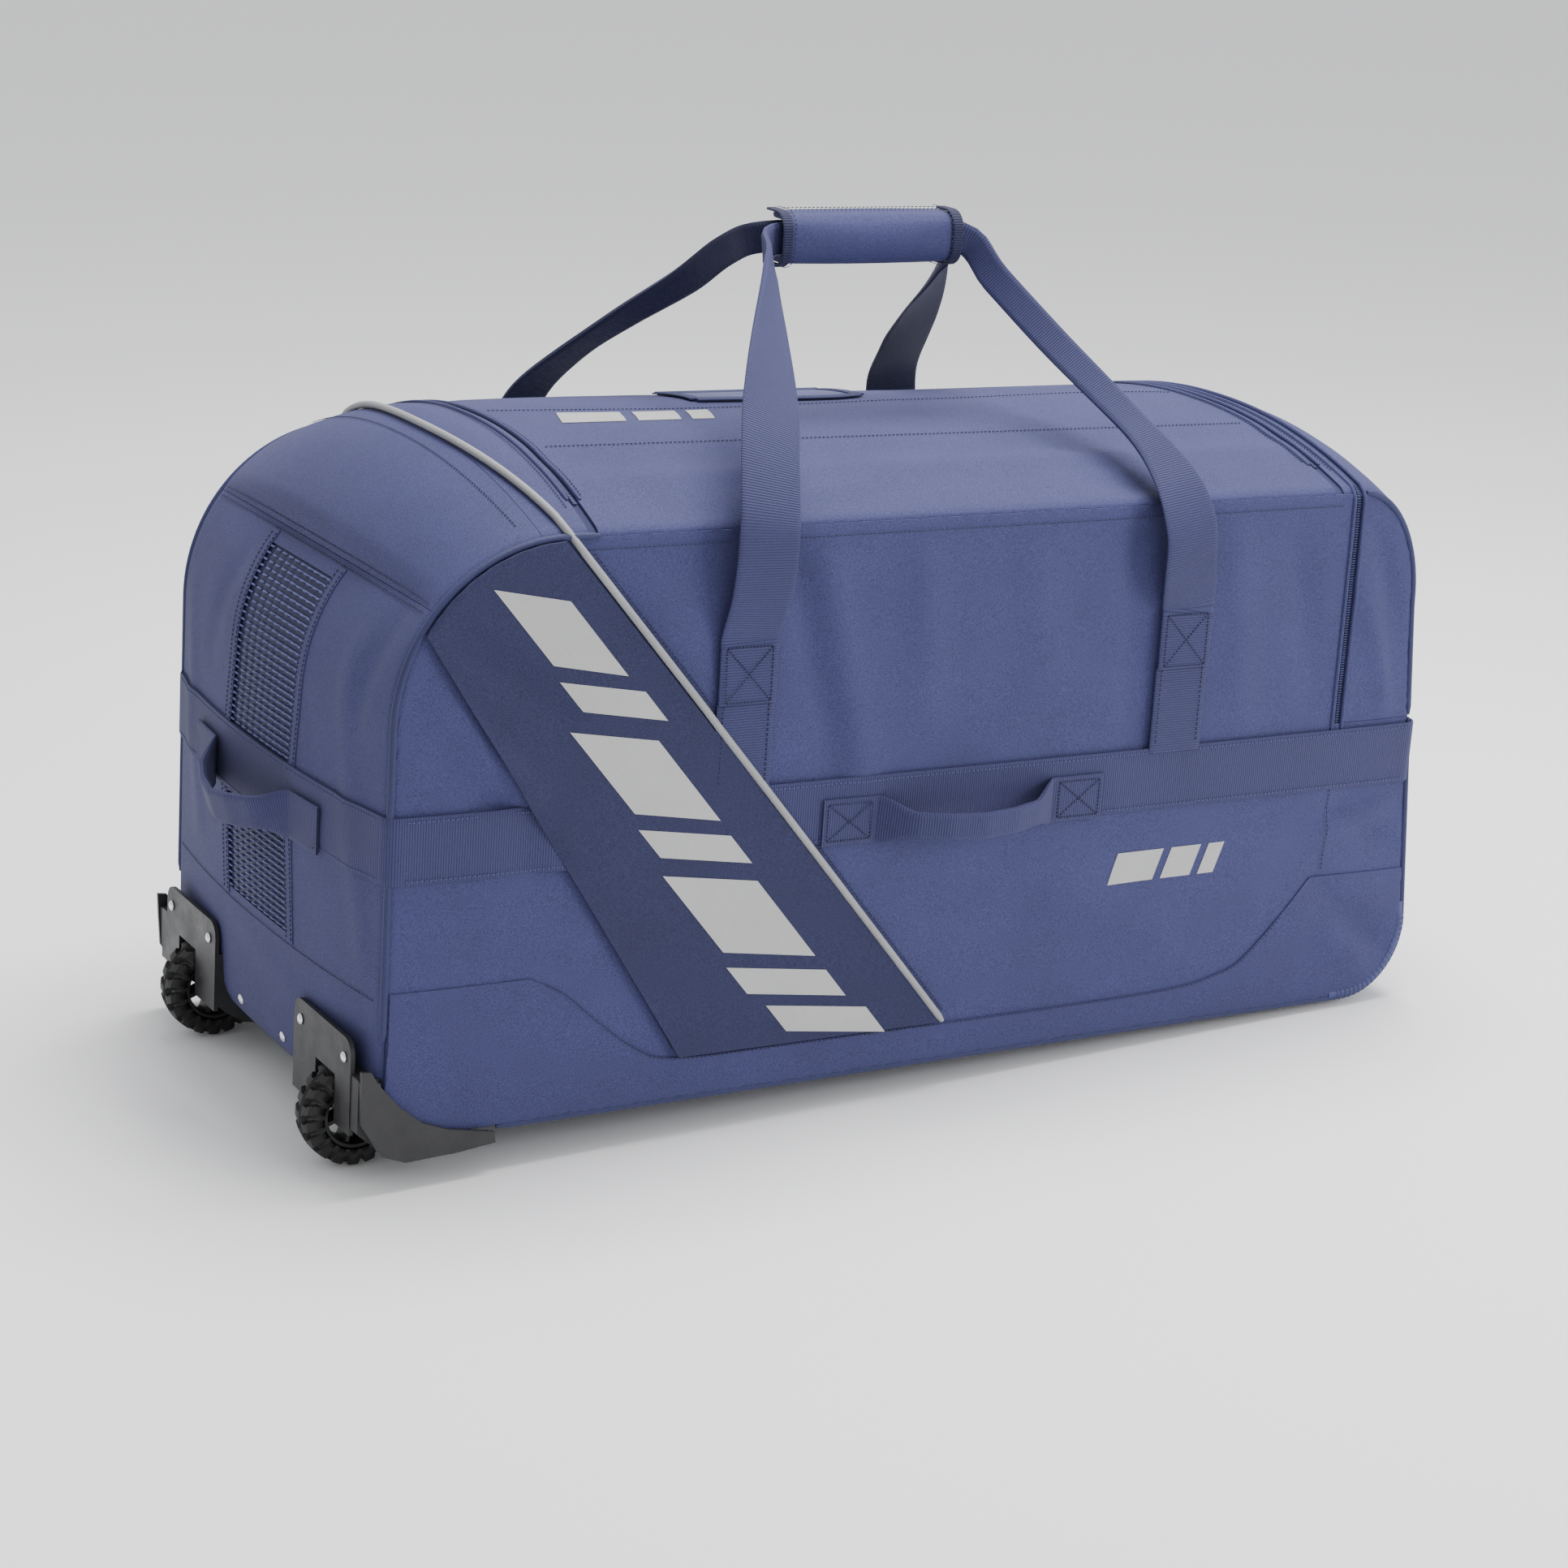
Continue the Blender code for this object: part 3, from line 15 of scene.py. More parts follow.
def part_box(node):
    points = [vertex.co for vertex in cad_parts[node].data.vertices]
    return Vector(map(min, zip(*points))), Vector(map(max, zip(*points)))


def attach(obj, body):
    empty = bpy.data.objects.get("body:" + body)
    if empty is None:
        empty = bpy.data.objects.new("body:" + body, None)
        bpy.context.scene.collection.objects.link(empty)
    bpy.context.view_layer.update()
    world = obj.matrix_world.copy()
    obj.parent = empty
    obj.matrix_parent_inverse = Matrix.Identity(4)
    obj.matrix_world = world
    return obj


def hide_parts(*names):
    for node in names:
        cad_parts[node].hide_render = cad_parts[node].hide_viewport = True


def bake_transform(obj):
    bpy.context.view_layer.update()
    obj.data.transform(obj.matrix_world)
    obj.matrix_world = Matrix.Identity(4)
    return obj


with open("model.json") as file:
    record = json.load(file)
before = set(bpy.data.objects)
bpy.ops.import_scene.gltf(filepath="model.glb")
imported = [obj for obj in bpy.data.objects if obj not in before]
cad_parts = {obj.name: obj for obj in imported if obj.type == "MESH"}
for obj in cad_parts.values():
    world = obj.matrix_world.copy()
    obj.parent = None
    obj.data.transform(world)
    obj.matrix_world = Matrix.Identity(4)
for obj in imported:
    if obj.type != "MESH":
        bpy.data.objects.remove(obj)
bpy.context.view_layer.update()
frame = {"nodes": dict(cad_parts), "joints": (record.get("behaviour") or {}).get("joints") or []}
JOINTS = {joint["name"]: joint for joint in frame["joints"]}

# ---------------------------------------------------------------- sizes, as in the CAD part
LENGTH, DEPTH, HEIGHT = 0.940, 0.431, 0.461
WALL, CLOTH, FIT = 0.004, 0.0014, 0.0004
SHOULDER_RX, SHOULDER_RZ = 0.135, 0.140
HEAD_RX, HEAD_RZ = 0.067, 0.100
HEEL_R, TOE_RX, TOE_RZ = 0.035, 0.060, 0.065
HEAD_X, TOE_X, TOE_RISE = 0.934, 0.963, 0.010
END_SEAM_Z, SHOULDER_EDGE = 0.409, 0.115
BAND_LOW, BAND_TOP, FLAP_LOW = 0.2045, 0.257, 0.262
LID_LEFT, LID_RIGHT, LID_BACK, ZIP_WIDTH = 0.1605, 0.8395, 0.393, 0.008
POCKET_X = 0.863
VENT_WIDTH, VENT_LOW, VENT_HIGH = 0.130, 0.120, 0.396
STRAP_WIDTH = 0.050
STRAP_LEFT_X, STRAP_RIGHT_X, ANCHOR_TOP = 0.2875, 0.6925, 0.372
GRIP_LEFT, GRIP_LENGTH, GRIP_Z = 0.412, 0.168, 0.6425
GRIP_WIDE, GRIP_TALL, LOOP_SPREAD = 0.034, 0.044, 0.0072
HANDLE_START, HANDLE_LENGTH, HANDLE_Z = 0.4105, 0.164, 0.222
END_HANDLE_HALF, XBOX = 0.079, 0.039
WHEEL_RADIUS, WHEEL_WIDTH, RIM_RADIUS, LUGS = 0.0415, 0.031, 0.0268, 18
WHEEL_X, WHEEL_Y, WHEEL_Z = 0.006, 0.0665, 0.004
PLATE_TOP, WELL_X, WELL_Z = 0.079, 0.0547, 0.0527
HOUSING_HIGH_Y = 0.130
PIPE_TOP, PIPE_FOOT = (0.135, 0.461), (0.490, 0.0415)
HEEL_SEAM_Z, TOE_SEAM_X = 0.011, 0.887
YOKE_SEAM_WHEEL_Z, YOKE_SEAM_PULLING_Z = 0.120, 0.125
ACCENT_LEFT_FOOT_X = 0.249
MID_Y = DEPTH / 2
CENTRE = (LENGTH / 2, MID_Y, HEIGHT / 2)
SIDES = (("front", False), ("back", True))     # name, and whether it is the far face

# ---------------------------------------------------------------- sewn layers
YOKE_LIFT, YOKE_THICK = 0.0012, 0.0016          # lift: how far a layer stands out of the cloth
ACCENT_LIFT, ACCENT_THICK = 0.0052, 0.0020
PRINT_LIFT, SMALL_PRINT_LIFT, PRINT_THICK = 0.0056, 0.0005, 0.0004
BAND_LIFT, BAND_THICK, BAND_HEM = 0.0026, 0.0022, 0.0035
ANCHOR_LIFT, ANCHOR_THICK = 0.0036, 0.0024
GREY_LIFT, GREY_RADIUS, GREY_ROOM = 0.0046, 0.0030, 0.0034
TAPE_THICK, COIL_LIFT, WELT_LIFT, WELT_RADIUS = 0.0014, -0.0008, 0.0004, 0.0019
THREAD_LIFT = 0.0008                            # stitches on a single layer of cloth
FACE_THREAD_LIFT = 0.0014                       # stitches on the draped side faces
PATH_STEP = 0.006                               # spacing of the points of a path over the cloth
EDGE_ROLL = 0.009       # radius of the soft edge between a face and the wrap-around cloth
MEET = EDGE_ROLL * (1 - sqrt(0.5))
STEP = 0.0075           # spacing of the points of a cloth surface

# ---------------------------------------------------------------- the bag's axes in the row frame
along = Vector(JOINTS["lid_open"]["axis"]).normalized()
BAG = Matrix.Identity(4)
BAG.col[0][:3] = along
BAG.col[2][:3] = (-along.z, 0, along.x)
HINGE_AT = Vector((LID_LEFT, 0.003, HEIGHT + 0.0015))
BAG.translation = Vector(JOINTS["lid_open"]["pos_m"]) - BAG.to_3x3() @ HINGE_AT


# ---------------------------------------------------------------- camera, floor and lights
CAMERA_AT, LENS_MM, SENSOR_MM = (-1.0167, -2.3026, 1.0394), 82.7, 36.0
VIEW_YAW, VIEW_PITCH, VIEW_ROLL = 30.324, 16.397, 3.876


def make_camera():
    """The viewing angle: front face and wheel end, from above, with the horizon slightly rolled."""
    yaw, pitch, roll = radians(VIEW_YAW), radians(VIEW_PITCH), radians(VIEW_ROLL)
    forward = Vector((sin(yaw) * cos(pitch), cos(yaw) * cos(pitch), -sin(pitch)))
    level = Vector((cos(yaw), -sin(yaw), 0))
    up = level.cross(forward)
    right = cos(roll) * level + sin(roll) * up
    up = right.cross(forward)
    camera = bpy.data.objects.new("camera", bpy.data.cameras.new("camera"))
    bpy.context.scene.collection.objects.link(camera)
    camera.data.lens, camera.data.sensor_width = LENS_MM, SENSOR_MM
    turn = Matrix((right, up, -forward)).transposed().to_4x4()
    camera.matrix_world = BAG @ Matrix.Translation(CAMERA_AT) @ turn
    bpy.context.scene.camera = camera


def make_studio():
    bpy.ops.mesh.primitive_plane_add(size=90, location=(0, 0, -0.0005))
    floor = bpy.context.object
    floor.name = "studio_floor"
    paint = bpy.data.materials.new("floor_white")
    paint.use_nodes = True
    shader = paint.node_tree.nodes["Principled BSDF"]
    shader.inputs["Base Color"].default_value = (0.93, 0.93, 0.935, 1)
    shader.inputs["Roughness"].default_value = 0.7
    floor.data.materials.append(paint)
    world = bpy.data.worlds.new("studio")
    world.use_nodes = True
    world.node_tree.nodes["Background"].inputs[0].default_value = (0.97, 0.98, 1.0, 1)
    world.node_tree.nodes["Background"].inputs[1].default_value = 0.95
    bpy.context.scene.world = world
    for name, place, aim, size, power in (
            ("key", (0.5, 0.1, 2.7), (0.0, 0.0, 0.3), 1.5, 120),
            ("fill", (2.3, -2.6, 1.2), (0.1, 0.0, 0.25), 1.4, 62)):
        light = bpy.data.objects.new(name, bpy.data.lights.new(name, "AREA"))
        bpy.context.scene.collection.objects.link(light)
        light.data.size, light.data.energy = size, power
        light.location = place
        light.rotation_euler = (Vector(aim) - Vector(place)).to_track_quat("-Z", "Y").to_euler()


make_camera()
make_studio()


# ---------------------------------------------------------------- materials
def new_material(name, colour, roughness, metallic=0.0, sheen=0.0):
    material = bpy.data.materials.new(name)
    material.use_nodes = True
    shader = material.node_tree.nodes["Principled BSDF"]
    shader.inputs["Base Color"].default_value = (*colour, 1)
    shader.inputs["Roughness"].default_value = roughness
    shader.inputs["Metallic"].default_value = metallic
    shader.inputs["Sheen Weight"].default_value = sheen
    shader.inputs["Sheen Roughness"].default_value = 0.5
    shader.inputs["Specular IOR Level"].default_value = 0.5 if metallic else 0.3
    return material, shader


class Graph:
    """Short calls for a material's nodes; a socket or a number can be given for each input."""

    def __init__(self, material):
        self.nodes, self.links = material.node_tree.nodes, material.node_tree.links

    def add(self, kind, **settings):
        node = self.nodes.new(kind)
        for key, value in settings.items():
            setattr(node, key, value)
        return node

    def feed(self, socket, value):
        if hasattr(value, "is_linked") or hasattr(value, "links"):
            self.links.new(value, socket)
        else:
            socket.default_value = value

    def math(self, operation, a, b=0.0):
        node = self.add("ShaderNodeMath", operation=operation)
        self.feed(node.inputs[0], a)
        self.feed(node.inputs[1], b)
        return node.outputs[0]

    def times(self, a, b):
        return self.math("MULTIPLY", a, b)

    def noise(self, vector, scale, detail=3.0, roughness=0.55):
        node = self.add("ShaderNodeTexNoise")
        self.links.new(vector, node.inputs["Vector"])
        node.inputs["Scale"].default_value = scale
        node.inputs["Detail"].default_value = detail
        node.inputs["Roughness"].default_value = roughness
        return node.outputs["Fac"]

    def remap(self, value, low, high, to_low, to_high):
        node = self.add("ShaderNodeMapRange")
        for socket, number in zip(node.inputs[1:5], (low, high, to_low, to_high)):
            socket.default_value = number
        self.links.new(value, node.inputs[0])
        return node.outputs[0]

    def shade(self, colour, amount):
        """The colour times a grey amount."""
        node = self.add("ShaderNodeVectorMath", operation="SCALE")
        self.feed(node.inputs[0], colour)
        self.feed(node.inputs["Scale"], amount)
        return node.outputs[0]

    def tint(self, shader, colour, tone):
        """The shader's base colour: the colour times a tone that varies over the surface."""
        self.links.new(self.shade((*colour,), tone), shader.inputs["Base Color"])

    def bump(self, shader, height, strength, distance):
        node = self.add("ShaderNodeBump")
        node.inputs["Strength"].default_value = strength
        node.inputs["Distance"].default_value = distance
        self.links.new(height, node.inputs["Height"])
        self.links.new(node.outputs[0], shader.inputs["Normal"])

    def across(self):
        """u and v in metres along the cloth, and the point in space for mottling."""
        uv = self.add("ShaderNodeUVMap", uv_map="weave")
        split = self.add("ShaderNodeSeparateXYZ")
        self.links.new(uv.outputs[0], split.inputs[0])
        space = self.add("ShaderNodeTexCoord").outputs["Object"]
        return split.outputs[0], split.outputs[1], space


def weave_height(graph, u, v, pitch):
    """Over-and-under of a plain weave: u and v threads take turns being on top."""
    a = graph.math("SINE", graph.times(u, pi / pitch))
    b = graph.math("SINE", graph.times(v, pi / pitch))
    turn = graph.math("GREATER_THAN", graph.times(a, b), 0.0)
    over = graph.times(graph.math("ABSOLUTE", a), turn)
    under = graph.times(graph.math("ABSOLUTE", b), graph.math("SUBTRACT", 1.0, turn))
    return graph.math("ADD", over, under)


def cloth_material(name, colour, roughness=0.78, pitch=0.0011, grain=0.42):
    """Coated polyester: a fine weave with painted shade in its dips, specks painted lighter and
    darker (the light ones are painted glints of single threads, which are also smoother), soft
    mottling and faint wear.
    """
    material, shader = new_material(name, colour, roughness, sheen=0.04)
    graph = Graph(material)
    u, v, space = graph.across()
    weave = weave_height(graph, u, v, pitch)
    speck = graph.noise(space, 900, 3.0, 0.75)
    mottle = graph.noise(space, 14, 4.0)
    # painted highlight: fine specks made lighter and darker, the light ones standing for glints of
    # single threads; grain sets how much
    tone = graph.times(graph.remap(speck, 0.28, 0.72, 1 - grain, 1 + grain),
                      graph.remap(mottle, 0.3, 0.7, 0.93, 1.07))
    # painted shade: the weave's dips darker, its raised threads lighter
    tone = graph.times(tone, graph.remap(weave, 0.0, 1.0, 0.86, 1.08))
    graph.tint(shader, colour, tone)
    graph.links.new(graph.remap(speck, 0.3, 0.7, roughness + 0.08, roughness - 0.14),
                    shader.inputs["Roughness"])
    height = graph.math("ADD", weave, graph.times(graph.noise(space, 420), 0.8))
    graph.bump(shader, height, 0.35, 0.0004)
    return material


def webbing_material(name, colour, pitch=0.0021, groove_shade=0.62):
    """Ribbed polyester webbing: ribs across the width with painted shade in the grooves between
    them, fine threads, flat woven edges.
    """
    material, shader = new_material(name, colour, 0.7, sheen=0.05)
    graph = Graph(material)
    u, v, space = graph.across()
    rib = graph.math("ABSOLUTE", graph.math("SINE", graph.times(u, pi / pitch)))
    thread = graph.math("ABSOLUTE", graph.math("SINE", graph.times(v, pi / 0.0009)))
    speck = graph.noise(space, 900, 2.0)
    # painted shade: the grooves between the ribs darker, the rib tops lighter
    tone = graph.times(graph.remap(rib, 0.0, 0.8, groove_shade, 1.16),
                      graph.remap(speck, 0.3, 0.7, 0.86, 1.14))
    tone = graph.times(tone, graph.remap(graph.noise(space, 9), 0.3, 0.7, 0.92, 1.08))
    graph.tint(shader, colour, tone)
    height = graph.math("ADD", rib, graph.times(thread, 0.25))
    graph.bump(shader, height, 0.75, 0.0006)
    return material


def plastic_material(name, colour, roughness, grain_scale=650, depth=0.00025):
    """Moulded plastic or rubber: fine grain, rubbed and dusty patches."""
    material, shader = new_material(name, colour, roughness)
    graph = Graph(material)
    space = graph.add("ShaderNodeTexCoord").outputs["Object"]
    grain = graph.noise(space, grain_scale, 4.0, 0.6)
    wear = graph.noise(space, 38, 5.0, 0.65)
    tone = graph.times(graph.remap(wear, 0.35, 0.75, 0.85, 1.35),
                      graph.remap(grain, 0.3, 0.7, 0.92, 1.08))
    graph.tint(shader, colour, tone)
    graph.links.new(graph.remap(wear, 0.35, 0.7, roughness - 0.08, roughness + 0.14),
                    shader.inputs["Roughness"])
    graph.bump(shader, grain, 0.35, depth)
    return material


def metal_material(name, colour, roughness):
    """Polished steel with faint brushing and smears."""
    material, shader = new_material(name, colour, roughness, metallic=1.0)
    graph = Graph(material)
    space = graph.add("ShaderNodeTexCoord").outputs["Object"]
    smear = graph.noise(space, 220, 5.0, 0.7)
    graph.links.new(graph.remap(smear, 0.3, 0.7, roughness - 0.08, roughness + 0.15),
                    shader.inputs["Roughness"])
    graph.bump(shader, graph.noise(space, 1800, 2.0), 0.1, 0.0001)
    return material


def print_material(name, colour):
    """A heat-pressed grey print: the weave shows through it, with tiny specks painted lighter and
    darker as glass-bead sparkle.
    """
    material, shader = new_material(name, colour, 0.5)
    graph = Graph(material)
    u, v, space = graph.across()
    # painted sparkle: fine specks made lighter and darker
    speck = graph.noise(space, 1300, 2.0)
    tone = graph.times(graph.remap(speck, 0.3, 0.7, 0.93, 1.07),
                      graph.remap(graph.noise(space, 20, 3.0), 0.3, 0.7, 0.96, 1.04))
    graph.tint(shader, colour, tone)
    graph.bump(shader, weave_height(graph, u, v, 0.0011), 0.2, 0.0003)
    return material


MAIN = (0.0355, 0.0385, 0.118)
# painted shade: the main cloth's colour made a little darker for the lower yoke panel
YOKE_SHADED = (0.0335, 0.0360, 0.112)
DARK = (0.0165, 0.0185, 0.062)
LOOKS = {
    "cloth": cloth_material("polyester_blue", MAIN),
    "dark_cloth": cloth_material("polyester_dark", DARK),
    "yoke": cloth_material("polyester_yoke_shaded", YOKE_SHADED),
    "lining": cloth_material("lining", (0.02, 0.024, 0.07), 0.85),
    "webbing": webbing_material("webbing_blue", (0.028, 0.0305, 0.096)),
    "dark_webbing": webbing_material("webbing_dark", (0.011, 0.0125, 0.046)),
    "piping": cloth_material("piping_dark", (0.021, 0.025, 0.085), 0.6, 0.0009, 0.15),
    "grey_piping": cloth_material("piping_grey", (0.27, 0.27, 0.28), 0.5, 0.0009, 0.12),
    "tape": webbing_material("zip_tape", (0.020, 0.024, 0.085), 0.0012, 0.8),
    "teeth": plastic_material("zip_teeth", (0.035, 0.040, 0.11), 0.35),
    "thread": cloth_material("thread", (0.06, 0.07, 0.19), 0.6, 0.0006, 0.1),
    "dark_thread": cloth_material("thread_dark", (0.010, 0.012, 0.045), 0.6, 0.0006, 0.1),
    "mesh": cloth_material("spacer_mesh", (0.018, 0.022, 0.075), 0.6, 0.0016),
    "mesh_rib": cloth_material("spacer_rib", (0.080, 0.090, 0.235), 0.55, 0.0008),
    "print": print_material("print_grey", (0.37, 0.37, 0.37)),
    "window": plastic_material("window_film", (0.045, 0.052, 0.135), 0.48, 120, 0.0001),
    "plastic": plastic_material("housing_plastic", (0.024, 0.024, 0.025), 0.42),
    "guard": plastic_material("guard_plastic", (0.040, 0.046, 0.135), 0.45),
    "board": plastic_material("board_black", (0.03, 0.03, 0.03), 0.7),
    "tread": plastic_material("tyre_rubber", (0.011, 0.011, 0.011), 0.5, 900, 0.0002),
    "hub": plastic_material("hub_plastic", (0.014, 0.014, 0.014), 0.38),
    "steel": metal_material("polished_steel", (0.76, 0.76, 0.78), 0.24),
    "slider": metal_material("slider_painted", (0.20, 0.21, 0.27), 0.34),
}


# ---------------------------------------------------------------- mesh building
def build(name, points, faces, look, body, uvs=None, sharp=40, replaces=(), slot=None):
    """A piece from points in the bag's axes; uvs are metres along the cloth, one per point."""
    mesh = bpy.data.meshes.new(name)
    mesh.from_pydata([tuple(p) for p in points], [], [tuple(int(i) for i in f) for f in faces])
    if uvs is not None:
        layer = mesh.uv_layers.new(name="weave")
        table = np.asarray(uvs, float)
        corners = np.zeros(len(mesh.loops), np.int32)
        mesh.loops.foreach_get("vertex_index", corners)
        layer.data.foreach_set("uv", table[corners].ravel())
    mesh.transform(BAG)
    mesh.materials.append(LOOKS[look])
    mesh.shade_smooth()
    mesh.set_sharp_from_angle(angle=radians(sharp))
    piece = bpy.data.objects.new(name, mesh)
    bpy.context.scene.collection.objects.link(piece)
    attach(piece, body)
    if replaces:
        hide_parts(*replaces)
    return piece


def slab(outer, inner, uv, holes=frozenset()):
    """Points, faces and uvs of a closed sheet between two equal grids, less some cells."""
    rows, columns = outer.shape[0] - 1, outer.shape[1] - 1
    count = outer.shape[0] * outer.shape[1]
    index = np.arange(count).reshape(outer.shape[:2])
    faces = []
    filled = {(i, j) for i in range(rows) for j in range(columns)} - set(holes)
    for i, j in sorted(filled):
        ring = [index[i, j], index[i + 1, j], index[i + 1, j + 1], index[i, j + 1]]
        faces.append(ring)
        faces.append([k + count for k in reversed(ring)])
        for n, cell in enumerate([(i, j - 1), (i + 1, j), (i, j + 1), (i - 1, j)]):
            if cell not in filled:
                a, b = ring[n], ring[(n + 1) % 4]
                faces.append([b, a, a + count, b + count])
    points = np.concatenate([outer.reshape(-1, 3), inner.reshape(-1, 3)])
    used = sorted({k for f in faces for k in f})
    renumber = {k: n for n, k in enumerate(used)}
    table = np.concatenate([uv.reshape(-1, 2)] * 2)
    return points[used], [[renumber[k] for k in f] for f in faces], table[used]


def layer(name, outer, inner, uv, look, body, holes=(), **more):
    """A closed sheet between two equal grids, its outer side looking away from the bag's centre."""
    points, faces, uvs = slab(outer, inner, uv, holes)
    a, b, c = (np.asarray(points[k], float) for k in faces[0][:3])
    if np.dot(np.cross(b - a, c - a), a - np.asarray(CENTRE)) < 0:
        faces = [list(reversed(f)) for f in faces]
    return build(name, points, faces, look, body, uvs, **more)


def smooth_path(points, per_span):
    """A Catmull-Rom curve through the points."""
    points = [Vector(p) for p in points]
    padded = [2 * points[0] - points[1]] + points + [2 * points[-1] - points[-2]]
    result = []
    for a, b, c, d in zip(padded, padded[1:], padded[2:], padded[3:]):
        for n in range(per_span):
            t = n / per_span
            result.append(0.5 * (2 * b + (c - a) * t + (2 * a - 5 * b + 4 * c - d) * t * t
                                 + (3 * b - a - 3 * c + d) * t ** 3))
    result.append(points[-1])
    return result


def stations(path):
    """Each point of a path with its number, its direction and its distance from the start."""
    length = 0.0
    for i, point in enumerate(path):
        ahead = path[min(i + 1, len(path) - 1)] - path[max(i - 1, 0)]
        length += (point - path[i - 1]).length if i else 0.0
        yield i, point, ahead.normalized(), length


def ring_faces(rings, n, turned=False):
    """Faces of a capped tube of rings with n points each; turned where they run the other way."""
    faces = []
    for i in range(rings - 1):
        for k in range(n):
            j = (k + 1) % n
            a, b, c, d = i * n + k, i * n + j, (i + 1) * n + j, (i + 1) * n + k
            faces.append([a, d, c, b] if turned else [a, b, c, d])
    first, last = list(range(n)), [(rings - 1) * n + k for k in range(n)]
    return faces + ([first, last[::-1]] if turned else [first[::-1], last])


def tube(name, path, radius, look, body, segments=10, across=Vector((0, 1, 0)), **more):
    """A round cord sewn along a path; path points are in the bag's axes."""
    points, uvs = [], []
    for i, point, forward, length in stations(path):
        side = (across - forward * across.dot(forward)).normalized()
        other = forward.cross(side)
        r = radius if 0 < i < len(path) - 1 else radius * 0.6
        for k in range(segments):
            a = 2 * pi * k / segments
            points.append(point + (side * cos(a) + other * sin(a)) * r)
            uvs.append((length, a * radius))
    return build(name, points, ring_faces(len(path), segments), look, body, uvs, **more)


def strap(name, path, across, widths, thicks, look, body, segments=8, **more):
    """Webbing with round woven edges; across, widths and thicks are one value or one per point."""
    across, widths, thicks = (value if isinstance(value, list) else [value] * len(path)
                              for value in (across, widths, thicks))
    shape = [(cos(a), sin(a)) for a in (pi * (0.5 + k / 3) for k in range(4))]
    points, uvs = [], []
    for i, point, forward, length in stations(path):
        side = (across[i] - forward * across[i].dot(forward)).normalized()
        up = forward.cross(side)
        w, t = widths[i] / 2, thicks[i] / 2
        ring = [(-w + t + a * t, b * t) for a, b in shape]
        ring += [(-w + t + (2 * w - 2 * t) * k / segments, -t) for k in range(1, segments)]
        ring += [(w - t - a * t, -b * t) for a, b in shape]
        ring += [(w - t - (2 * w - 2 * t) * k / segments, t) for k in range(1, segments)]
        points += [point + side * a + up * b for a, b in ring]
        uvs += [(length, a) for a, b in ring]
    faces = ring_faces(len(path), len(points) // len(path), turned=True)
    return build(name, points, faces, look, body, uvs, **more)


class Bits:
    """Many small hard bits, such as stitches or zip teeth, gathered into one piece."""

    def __init__(self):
        self.points, self.faces = [], []

    def grain(self, middle, along_bit, out, length, width, height):
        """A rounded sliver: pointed ends and a flat hexagon section."""
        forward = along_bit.normalized()
        side = forward.cross(out).normalized()
        up = side.cross(forward)
        first = len(self.points)
        ends = [middle - forward * length / 2, middle + forward * length / 2]
        self.points.append(ends[0])
        for share in (-0.28, 0.28):
            for k in range(6):
                a = 2 * pi * k / 6
                self.points.append(middle + forward * length * share
                                   + side * cos(a) * width / 2 + up * sin(a) * height / 2)
        self.points.append(ends[1])
        for k in range(6):
            j = (k + 1) % 6
            self.faces.append([first, first + 1 + j, first + 1 + k])
            self.faces.append([first + 1 + k, first + 1 + j, first + 7 + j, first + 7 + k])
            self.faces.append([first + 13, first + 7 + k, first + 7 + j])

    def stitches(self, path, outs, pitch=0.0038, width=0.0009, height=0.0008):
        """A row of stitches along a path whose outward directions are outs."""
        lengths = [length for *_, length in stations(path)]
        count = max(1, int(lengths[-1] / pitch))
        spots = [(k + 0.5) * lengths[-1] / count for k in range(count)]
        xs = np.interp(spots, lengths, [p.x for p in path])
        ys = np.interp(spots, lengths, [p.y for p in path])
        zs = np.interp(spots, lengths, [p.z for p in path])
        for spot, x, y, z in zip(spots, xs, ys, zs):
            n = min(int(np.searchsorted(lengths, spot)), len(path) - 1)
            self.grain(Vector((x, y, z)), path[n] - path[n - 1], outs[n],
                       0.72 * pitch, width, height)

    def teeth(self, path, outs, pitch=0.0021, width=0.0052):
        """A closed zip coil: slim loops lying across the tape."""
        lengths = [length for *_, length in stations(path)]
        count = int(lengths[-1] / pitch)
        for k in range(count):
            spot = (k + 0.5) * pitch
            n = min(int(np.searchsorted(lengths, spot)), len(path) - 1)
            share = (spot - lengths[n - 1]) / (lengths[n] - lengths[n - 1])
            middle = path[n - 1].lerp(path[n], share)
            cross = (path[n] - path[n - 1]).cross(outs[n])
            self.grain(middle, cross, outs[n], width, 0.0014, 0.0020)

    def piece(self, name, look, body, **more):
        uvs = [(p[0] + p[1], p[2]) for p in self.points]
        return build(name, self.points, self.faces, look, body, uvs, sharp=60, **more)


def sew(name, look, body, runs, slot="cloth"):
    """Rows of stitches as one piece; a run is what Bits.stitches takes, its path first."""
    threads = Bits()
    for run in runs:
        threads.stitches(*run)
    threads.piece(name, look, body, slot=slot)


def coil(name, run):
    """The closed coil of a zip along a run, a path and its outward directions."""
    loops = Bits()
    loops.teeth(*run)
    loops.piece(name, "teeth", "bag", slot="zip")


# ---------------------------------------------------------------- the bag's outline and crown
def arc(centre, radii, start, end, steps):
    angles = np.radians(np.linspace(start, end, steps + 1))
    return [(centre[0] + radii[0] * np.cos(a), centre[1] + radii[1] * np.sin(a)) for a in angles]


